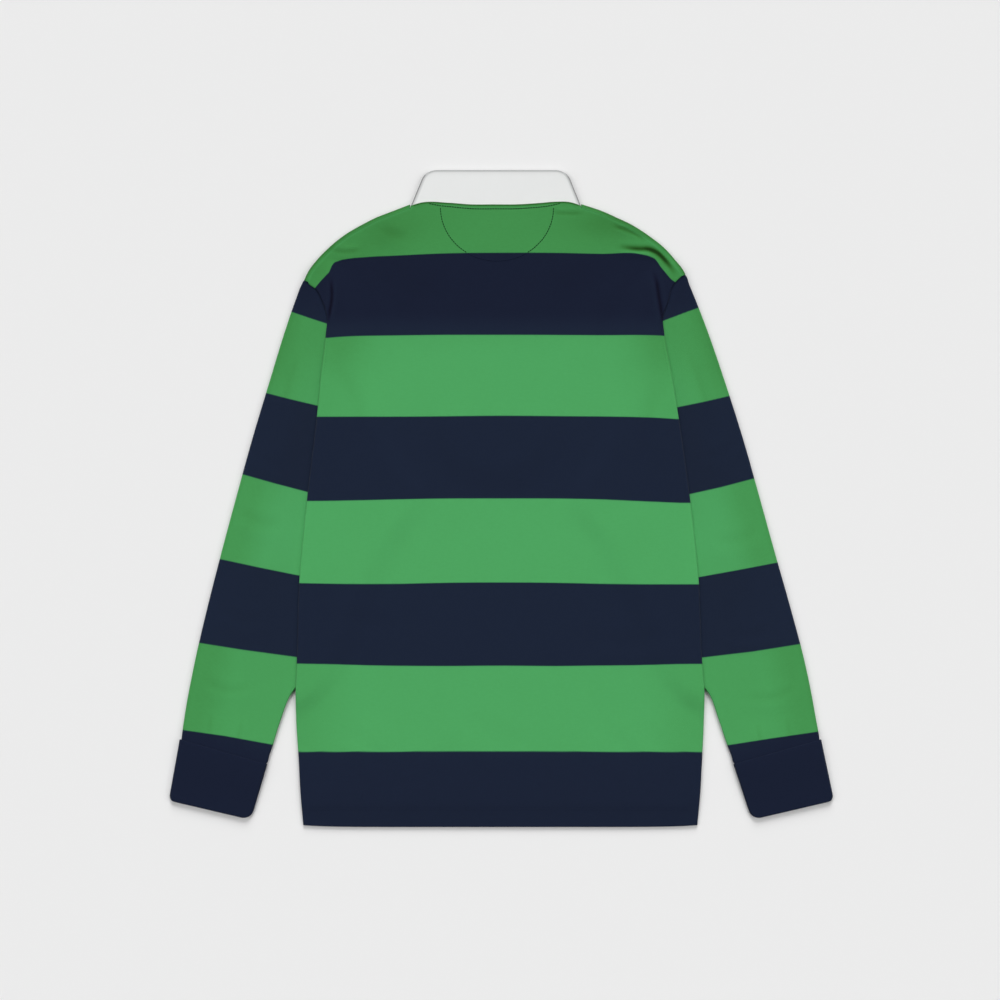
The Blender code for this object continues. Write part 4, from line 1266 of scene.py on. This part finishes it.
class Finish:
    """A material written as expressions."""

    def __init__(self, name):
        self.material = bpy.data.materials.new(name)
        self.material.use_nodes = True
        self.tree = self.material.node_tree
        self.shader = self.tree.nodes["Principled BSDF"]

    def node(self, kind, settings, sockets, output=0):
        made = self.tree.nodes.new(kind)
        for setting, value in settings.items():
            setattr(made, setting, value)
        for key, value in sockets.items():
            self.put(made.inputs[key], value)
        return Value(self, made.outputs[output])

    def put(self, socket, value):
        if isinstance(value, Value):
            self.tree.links.new(value.socket, socket)
        else:
            socket.default_value = value

    def attribute(self, name):
        return self.node("ShaderNodeAttribute", {"attribute_name": name}, {}, "Fac")

    def cloth_place(self):
        """Across and along the flat cloth, in metres."""
        place = self.node("ShaderNodeUVMap", {"uv_map": "cloth"}, {})
        return [self.node("ShaderNodeSeparateXYZ", {}, {0: place}, axis) for axis in (0, 1)]

    def mottle(self, size, detail=2.0):
        """Soft random patches of about that size, from 0 to 1."""
        place = self.node("ShaderNodeTexCoord", {}, {}, "Object")
        return self.node("ShaderNodeTexNoise", {},
                         {"Vector": place, "Scale": 1 / size, "Detail": detail})

    def blend(self, share, first, second):
        """Two colours mixed."""
        return self.node("ShaderNodeMix", {"data_type": "RGBA"},
                         {0: share, 6: first, 7: second}, 2)

    def streaks(self, length, width):
        """Soft random streaks across the cloth, of about that size, from 0 to 1."""
        across, along = self.cloth_place()
        place = self.node("ShaderNodeCombineXYZ", {}, {0: across / length, 1: along / width})
        return self.node("ShaderNodeTexNoise", {}, {"Vector": place, "Scale": 1.0, "Detail": 1.0})

    def dye_with_painted_shade(self, tone, colour, bends):
        """A dyed colour at a tone that carries painted shade, its channels changing by their own
        powers so that painted shade deepens and shifts the colour.
        """
        tone = self.node("ShaderNodeClamp", {}, {"Value": tone, "Min": 0.1, "Max": 2.0})
        channels = [tone.power(bend) * share for share, bend in zip(colour, bends)]
        return self.node("ShaderNodeCombineColor", {}, dict(enumerate(channels)))

    def surface(self, colour, roughness, height, depth, **constants):
        """Puts the colour, roughness and raised texture on the shader."""
        bump = self.node("ShaderNodeBump", {}, {"Height": height, "Distance": depth,
                                                "Strength": 1.0})
        inputs = self.shader.inputs
        self.put(inputs["Base Color"], colour)
        self.put(inputs["Roughness"], roughness)
        self.put(inputs["Normal"], bump)
        for name, value in constants.items():
            inputs[name.replace("_", " ")].default_value = value
        return self.material


def knit(finish):
    """The height of jersey's loops, legs of each loop leaning towards each other."""
    across, along = finish.cloth_place()
    leg = (across / WALE).zigzag()
    lean = 2.0 * leg - 1.0
    strand = 1.0 - lean * lean
    loop = ((along / COURSE + leg * 0.6) * math.tau).sine() * 0.5 + 0.5
    return strand * (loop * 0.45 + 0.55), loop


# Each dye's colour, and the powers by which its channels change with its painted-shade tone.
GREEN = (0.0790, 0.4033, 0.1235), (1.08, 1.0, 1.54)
NAVY = (0.0078, 0.0150, 0.0371), (0.9, 1.0, 0.52)
WHITE = (0.826, 0.837, 0.831)


def yarn_tone_and_painted_shade(finish, name, height):
    """A tone from the mesh, carrying painted shade, with the small unevenness of dyed yarn and
    painted shade in the hollows of the knit.
    """
    return (finish.attribute(name) + (finish.mottle(0.0035) - 0.5) * 0.05
            + (finish.mottle(0.045, 3.0) - 0.5) * 0.03
            + (finish.streaks(0.009, 0.0011) - 0.5) * 0.06 + (height - 0.4) * 0.06)


def jersey(name, colour_of):
    finish = Finish(name)
    height, loop = knit(finish)
    return finish.surface(colour_of(finish, height, loop), 0.93 - height * 0.08, height, 0.00016,
                          Specular_IOR_Level=0.12, Sheen_Weight=0.06, Sheen_Roughness=0.5)


def navy_colour(finish, height, loop):
    return finish.dye_with_painted_shade(yarn_tone_and_painted_shade(finish, "navy", height), *NAVY)


def striped_colour(finish, height, loop):
    stripe = finish.attribute("stripe") + (loop - 0.5) * 0.004
    green = (0.5 - (stripe * math.pi).sine() * STRIPE_EDGE).clamped()
    return finish.blend(green, navy_colour(finish, height, loop),
                        finish.dye_with_painted_shade(yarn_tone_and_painted_shade(finish, "tone", height), *GREEN))


def white_twill():
    finish = Finish("white_twill_cloth")
    across, along = finish.cloth_place()
    line = ((across * 0.85 + along) / TWILL * math.tau).sine() * 0.5 + 0.5
    yarn = ((across - along * 0.6) / (TWILL * 0.6) * math.tau).sine() * 0.5 + 0.5
    height = line * 0.75 + yarn * 0.25
    # The collar's tone carries painted shade; the twill's hollows get painted shade too, and the
    # tone blends the white towards near black.
    tone = (finish.attribute("tone") + (finish.mottle(0.004) - 0.5) * 0.02
            + (height - 0.5) * 0.02)
    colour = finish.blend(tone.clamped(), (0.02, 0.022, 0.028, 1.0), (*WHITE, 1.0))
    return finish.surface(colour, 0.9 - line * 0.06, height, 0.00008,
                          Specular_IOR_Level=0.15, Sheen_Weight=0.04, Sheen_Roughness=0.5)


def thread(name, colour):
    """Twisted sewing thread."""
    finish = Finish(name)
    fibre = finish.mottle(0.0006, 3.0)
    # Painted shade: the fibre's low places, where its bump sinks, are darker.
    dark = tuple(channel * 0.75 for channel in colour)
    shade = finish.blend(fibre, (*dark, 1.0), (*colour, 1.0))
    return finish.surface(shade, 0.75 + fibre * 0.15, fibre, 0.00006,
                          Specular_IOR_Level=0.12)


def rubber():
    finish = Finish("rubber_button_moulded")
    grain = finish.mottle(0.0004, 4.0)
    cloud = finish.mottle(0.004, 2.0)
    colour = finish.blend(cloud, (0.60, 0.60, 0.56, 1.0), (0.70, 0.70, 0.67, 1.0))
    return finish.surface(colour, 0.42 + grain * 0.16, grain, 0.00003, Specular_IOR_Level=0.45)


# ------------------------------------------------------------------ stitching
STITCH_LENGTH = 2.5
STITCH_PITCH = 3.3
THREAD_HALF = 0.3
STITCH_SINK = 0.05      # how far a thread sinks into the cloth


def model_stitch():
    """One stitch, 1 mm long and 1 mm thick, lying along X and sunk at its ends."""
    bpy.ops.object.select_all(action="DESELECT")
    bpy.ops.mesh.primitive_cylinder_add(vertices=6, radius=0.5, depth=1.0,
                                        rotation=(0, math.pi / 2, 0))
    stitch = bpy.context.object
    stitch.name = "stitch"
    bpy.ops.object.transform_apply(location=False, rotation=True, scale=True)
    for cut in (-0.32, 0.0, 0.32):
        bpy.ops.object.mode_set(mode="EDIT")
        bpy.ops.mesh.select_all(action="SELECT")
        bpy.ops.mesh.bisect(plane_co=(cut, 0, 0), plane_no=(1, 0, 0))
        bpy.ops.object.mode_set(mode="OBJECT")
    for vertex in stitch.data.vertices:
        end = (abs(vertex.co.x) * 2) ** 4
        vertex.co.y *= 1 - 0.4 * end
        vertex.co.z = vertex.co.z * (1 - 0.4 * end) - 0.45 * end
    return stitch


def read_mesh(piece):
    mesh = piece.data
    points = np.zeros(3 * len(mesh.vertices))
    mesh.vertices.foreach_get("co", points)
    return points.reshape(-1, 3), [tuple(face.vertices) for face in mesh.polygons]


def stitches_along(line, pitch):
    """Evenly spaced places on a line of points, and the directions there."""
    along = run_lengths(line)
    count = max(int(along[-1] / pitch), 1)
    middles = (np.arange(count) + 0.5) * along[-1] / count

    def at(distance):
        return np.stack([np.interp(distance, along, line[:, k]) for k in range(3)], -1)

    return at(middles), unit(at(middles + 0.3) - at(middles - 0.3))


def sew(name, finish, lines, stitch, length=STITCH_LENGTH, pitch=STITCH_PITCH,
        half=THREAD_HALF, down=False, crosswise=False):
    """Rows of stitches as one piece, each stitch a copy of the modelled one.

    Each line is points (across, height, level) on the cloth. down sews on an underside,
    and crosswise turns each stitch across its line.
    """
    shape, sides = read_mesh(stitch)
    points, faces = [], []
    for line in lines:
        for place, run in zip(*stitches_along(np.asarray(line, float), pitch)):
            up = np.array([0.0, 0.0, -1.0 if down else 1.0])
            across = unit(np.cross(up, run))
            if crosswise:
                run, across = across, -run
            up = np.cross(run, across)
            frame_of = np.stack([run * length, across * 2 * half, up * 2 * half])
            start = len(points) * len(shape)
            faces += [tuple(start + k for k in side) for side in sides]
            points.append(shape @ frame_of + place)
    points = (np.concatenate(points) - (0, ORIGIN_HEIGHT, 0)) * MM
    mesh = bpy.data.meshes.new(name)
    mesh.from_pydata(points.tolist(), [], faces)
    mesh.materials.append(finish)
    piece = set_out(name, mesh)
    select_only(piece)
    bpy.ops.object.mode_set(mode="EDIT")
    bpy.ops.mesh.select_all(action="SELECT")
    bpy.ops.mesh.normals_make_consistent(inside=False)
    bpy.ops.object.mode_set(mode="OBJECT")
    bpy.ops.object.shade_smooth()
    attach(piece, "root")


def sewn_top(x, height):
    """Level at which a thread lies on the back's upper face."""
    return back_top(x, height) - STITCH_SINK


def on_back(plan):
    """Plan points laid on the back's upper face."""
    return lifted(plan, sewn_top(*plan_of(plan)))


def runs_where(line, inside):
    """The parts of a line of points where inside holds."""
    cuts = np.flatnonzero(np.diff(inside.astype(int))) + 1
    return [part for part, keep in zip(np.split(line, cuts), np.split(inside, cuts)) if keep[0]]


NECK_LINE = Path([
    (-84.0, 724.0), (-71.3, 721.6), (-59.7, 720.4), (-48.1, 719.2), (-36.5, 718.2),
    (-8.0, 717.9), (21.5, 718.2), (33.1, 719.0), (44.7, 719.9), (56.3, 721.5), (68.0, 724.2)])
ARMHOLE_SPAN = (0.83, 0.985)
ARMHOLE_TOP = 640.0
HEM_ENDS = (-222.0, 219.0)
HEM_LINES = (21.0, 24.5)


def half_moon_line():
    turns = np.linspace(-math.pi, 0, 120)
    return on_back(np.stack([PATCH_CENTRE + PATCH_HALF * np.cos(turns),
                             MOON_TOP + MOON_DROP * np.sin(turns)], -1))


def shoulder_line(side, inset):
    share = np.linspace(0.03, 0.985, 90)
    return on_back(shoulder_point(side, share, SHOULDER_SEAM + SEAM + inset))


def armhole_line(side, inset):
    v = np.linspace(*ARMHOLE_SPAN, 200)
    return on_back(BACK_PANEL.side(side, v, back_roll(v * ARMHOLE_TOP) + inset))


def hem_line(up, level):
    x = np.linspace(*HEM_ENDS, 300)
    return lifted(np.stack([x, up + 0 * x], -1), level(x, up + 0 * x))


# ------------------------------------------------------------------ buttons
def choose(piece, test):
    """Selects the faces of a piece that pass a test of their middle and normal."""
    bpy.ops.object.mode_set(mode="OBJECT")
    for face in piece.data.polygons:
        face.select = test(face.center, face.normal)
    bpy.ops.object.mode_set(mode="EDIT")
    bpy.ops.mesh.select_mode(type="FACE")


def model_button(finish):
    """A rubber button: a rim round a dished face that looks down, and four holes."""
    bpy.ops.object.select_all(action="DESELECT")
    bpy.ops.mesh.primitive_cylinder_add(vertices=40, radius=7.5 * MM, depth=0.5 * MM,
                                        location=(0, 0, 0.95 * MM))
    button = bpy.context.object
    button.name = "button_model"
    bpy.ops.object.transform_apply(location=True, rotation=True, scale=True)

    def pull(lift, scale):
        bpy.ops.mesh.extrude_region_move(TRANSFORM_OT_translate={"value": (0, 0, lift * MM)})
        bpy.ops.transform.resize(value=(scale, scale, 1))

    choose(button, lambda middle, normal: normal.z > 0.9)
    pull(0.6, 6.6 / 7.5)
    choose(button, lambda middle, normal: normal.z < -0.9)
    pull(-0.7, 6.7 / 7.5)
    bpy.ops.mesh.inset(thickness=1.3 * MM)
    pull(0.55, 4.2 / 5.4)
    bpy.ops.object.mode_set(mode="OBJECT")
    for k in range(4):
        turn = math.radians(45 + 90 * k)
        bpy.ops.object.select_all(action="DESELECT")
        bpy.ops.mesh.primitive_cylinder_add(
            vertices=14, radius=0.8 * MM, depth=6 * MM,
            location=(2.0 * MM * math.cos(turn), 2.0 * MM * math.sin(turn), 0.9 * MM))
        drill = bpy.context.object
        cut = button.modifiers.new("hole", "BOOLEAN")
        cut.operation, cut.solver, cut.object = "DIFFERENCE", "EXACT", drill
        apply_modifiers(button)
        bpy.data.objects.remove(drill, do_unlink=True)
    round_edges(button, 0.14, 2, math.radians(28))
    bpy.ops.object.shade_smooth_by_angle(angle=math.radians(40))
    button.data.materials.clear()
    button.data.materials.append(finish)
    return button


def button_shirt():
    """Copies of the button, each with its own mesh and its place in the mesh."""
    model = model_button(rubber())
    shape, _ = read_mesh(model)
    for number, height in enumerate(BUTTON_HEIGHTS, start=1):
        mesh = model.data.copy()
        mesh.name = f"rubber_button_{number}"
        moved = shape + np.array([NECK_CENTRE, height - ORIGIN_HEIGHT, 0]) * MM
        mesh.vertices.foreach_set("co", moved.ravel())
        piece = set_out(mesh.name, mesh)
        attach(piece, "root")
        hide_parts(f"button_{number}")
    bpy.data.objects.remove(model, do_unlink=True)


# ------------------------------------------------------------------ dressing the shirt
def dress(piece, node):
    """Attaches a piece of cloth to the shirt's root and hides the part of model.glb that it stands
    for.
    """
    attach(piece, "root")
    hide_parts(node)


def dress_shirt():
    striped = jersey("striped_jersey_cloth", striped_colour)
    navy = jersey("navy_jersey_cloth", navy_colour)
    twill = white_twill()
    back = build_back(striped)
    front = build_front(striped)
    dress(front, "front_panel")
    for side in SIDES:
        sleeve = build_sleeve(side, striped)
        cuff = build_cuff(side, navy)
        dress(sleeve, "sleeve_" + side)
        dress(cuff, "cuff_" + side)
    dress(back, "back_panel")
    collar = build_collar(twill)
    dress(collar, "collar")
    overlap, underlap = build_placket(twill)
    dress(overlap, "placket_overlap")
    dress(underlap, "placket_underlap")
    patch = build_patch(striped)
    dress(patch, "half_moon_patch")


THREADS = {
    "green": (0.006, 0.05, 0.014),
    "leaf": (0.06, 0.32, 0.09),
    "navy": (0.0062, 0.0115, 0.0335),
    "white": (0.72, 0.73, 0.72),
}
BOLD = {"length": 2.9, "pitch": 2.9, "half": 0.56}


def sew_shirt():
    stitch = model_stitch()
    green, leaf, navy, white = (
        thread(name + "_thread", colour) for name, colour in THREADS.items())
    moon = half_moon_line()
    on_green = moon[:, 1] > STRIPE_LINES[-1](moon[:, 0])
    sew("half_moon_stitching", green, runs_where(moon, on_green), stitch, **BOLD)
    sew("half_moon_foot_stitching", navy, runs_where(moon, ~on_green), stitch, **BOLD)
    sew("neck_stitching", green, [on_back(NECK_LINE(np.linspace(0, 1, 90)))], stitch, **BOLD)
    sew("shoulder_stitching", leaf, [shoulder_line(side, 1.2) for side in SIDES], stitch,
        half=0.26)
    armholes = [armhole_line(side, 1.4) for side in SIDES]
    for name, finish, odd in (("armhole_stitching", navy, 0),
                              ("green_armhole_stitching", leaf, 1)):
        parts = [part for line in armholes for part in
                 runs_where(line, body_stripe(*plan_of(line)).astype(int) % 2 == odd)]
        sew(name, finish, parts, stitch, half=0.24)
    sew("hem_stitching", navy, [hem_line(up, sewn_top) for up in HEM_LINES], stitch)
    under = [hem_line(up, lambda x, h: front_level(x, h) + 0.12) for up in HEM_LINES]
    sew("front_hem_stitching", navy, under, stitch, down=True)
    sew_placket(stitch, white)
    bpy.data.objects.remove(stitch, do_unlink=True)


def sew_placket(stitch, finish):
    """Edge stitching, the crossed box at the foot, the buttonholes and button threads."""
    low, high = PLACKET_FOOT + 2.6, THROAT - 2.0
    reach = PLACKET_HALF - SEAM - 1.8
    box = low + 26.0

    def on_strip(points):
        line = np.array(points, float)
        share = np.linspace(0, 1, 60)
        known = np.linspace(0, 1, len(line))
        x, height = (np.interp(share, known, line[:, k]) for k in (0, 1))
        return lifted(np.stack([NECK_CENTRE + x, height], -1),
                      front_under(NECK_CENTRE + x, height) + 0.1)

    lines = [on_strip(points) for points in (
        [(-reach, low), (-reach, high)], [(reach, low), (reach, high)],
        [(-reach, low), (reach, low)], [(-reach, box), (reach, box)],
        [(-reach, low), (reach, box)], [(reach, low), (-reach, box)])]
    sew("placket_stitching", finish, lines, stitch, half=0.24, down=True)
    holes = [on_strip([(x, height - 9.0), (x, height + 9.0)])
             for height in BUTTON_HEIGHTS for x in (-0.8, 0.8)]
    sew("buttonhole_stitching", finish, holes, stitch, length=1.5, pitch=0.55, half=0.22,
        down=True, crosswise=True)
    threads = [[(NECK_CENTRE + x, height + end, 0.5) for end in (-1.4, 1.4)]
               for height in BUTTON_HEIGHTS for x in (-1.4, 1.4)]
    sew("button_thread", finish, threads, stitch, length=3.2, pitch=9.0, half=0.45, down=True)


# ------------------------------------------------------------------ table, light, camera
CAMERA_HEIGHT = 3.005
CAMERA_PLACE = (-0.00174, -0.00093)
LENS = 93.18
TABLE_COLOUR = 0.86


def lay_table():
    bpy.ops.object.select_all(action="DESELECT")
    bpy.ops.mesh.primitive_plane_add(size=40.0)
    floor = bpy.context.object
    floor.name = "floor"
    finish = Finish("pale_table")
    cloud = finish.mottle(0.02, 2.0)
    shade = finish.blend(cloud, (*[TABLE_COLOUR * 0.998] * 3, 1.0), (*[TABLE_COLOUR] * 3, 1.0))
    floor.data.materials.append(finish.surface(shade, 0.95 - cloud * 0.02, cloud, 0.00001,
                                               Specular_IOR_Level=0.0))


# Large soft lights: strength, and in degrees tilt from straight down, turn about the
# shirt and size.
LIGHTS = {
    "window": (2.8, 62, 0, 36),
    "left_panel": (1.18, 48, 90, 50),
    "right_panel": (1.18, 48, -90, 50),
}
ROOM_LIGHT = 0.05


def light_studio():
    world = bpy.data.worlds.new("studio")
    world.use_nodes = True
    background = world.node_tree.nodes["Background"]
    background.inputs["Color"].default_value = (1, 1, 1, 1)
    background.inputs["Strength"].default_value = ROOM_LIGHT
    bpy.context.scene.world = world
    for name, (strength, tilt, turn, size) in LIGHTS.items():
        lamp = bpy.data.lights.new(name, "SUN")
        lamp.energy = strength
        lamp.angle = math.radians(size)
        set_out(name, lamp).rotation_euler = (math.radians(-tilt), 0, math.radians(turn))


def place_camera():
    camera = set_out("camera", bpy.data.cameras.new("camera"))
    camera.data.lens = LENS
    camera.data.clip_end = 50.0
    camera.location = (*CAMERA_PLACE, CAMERA_HEIGHT)
    bpy.context.scene.camera = camera
    bpy.context.scene.view_settings.view_transform = "Standard"


place_camera()
lay_table()
light_studio()
dress_shirt()
sew_shirt()
button_shirt()
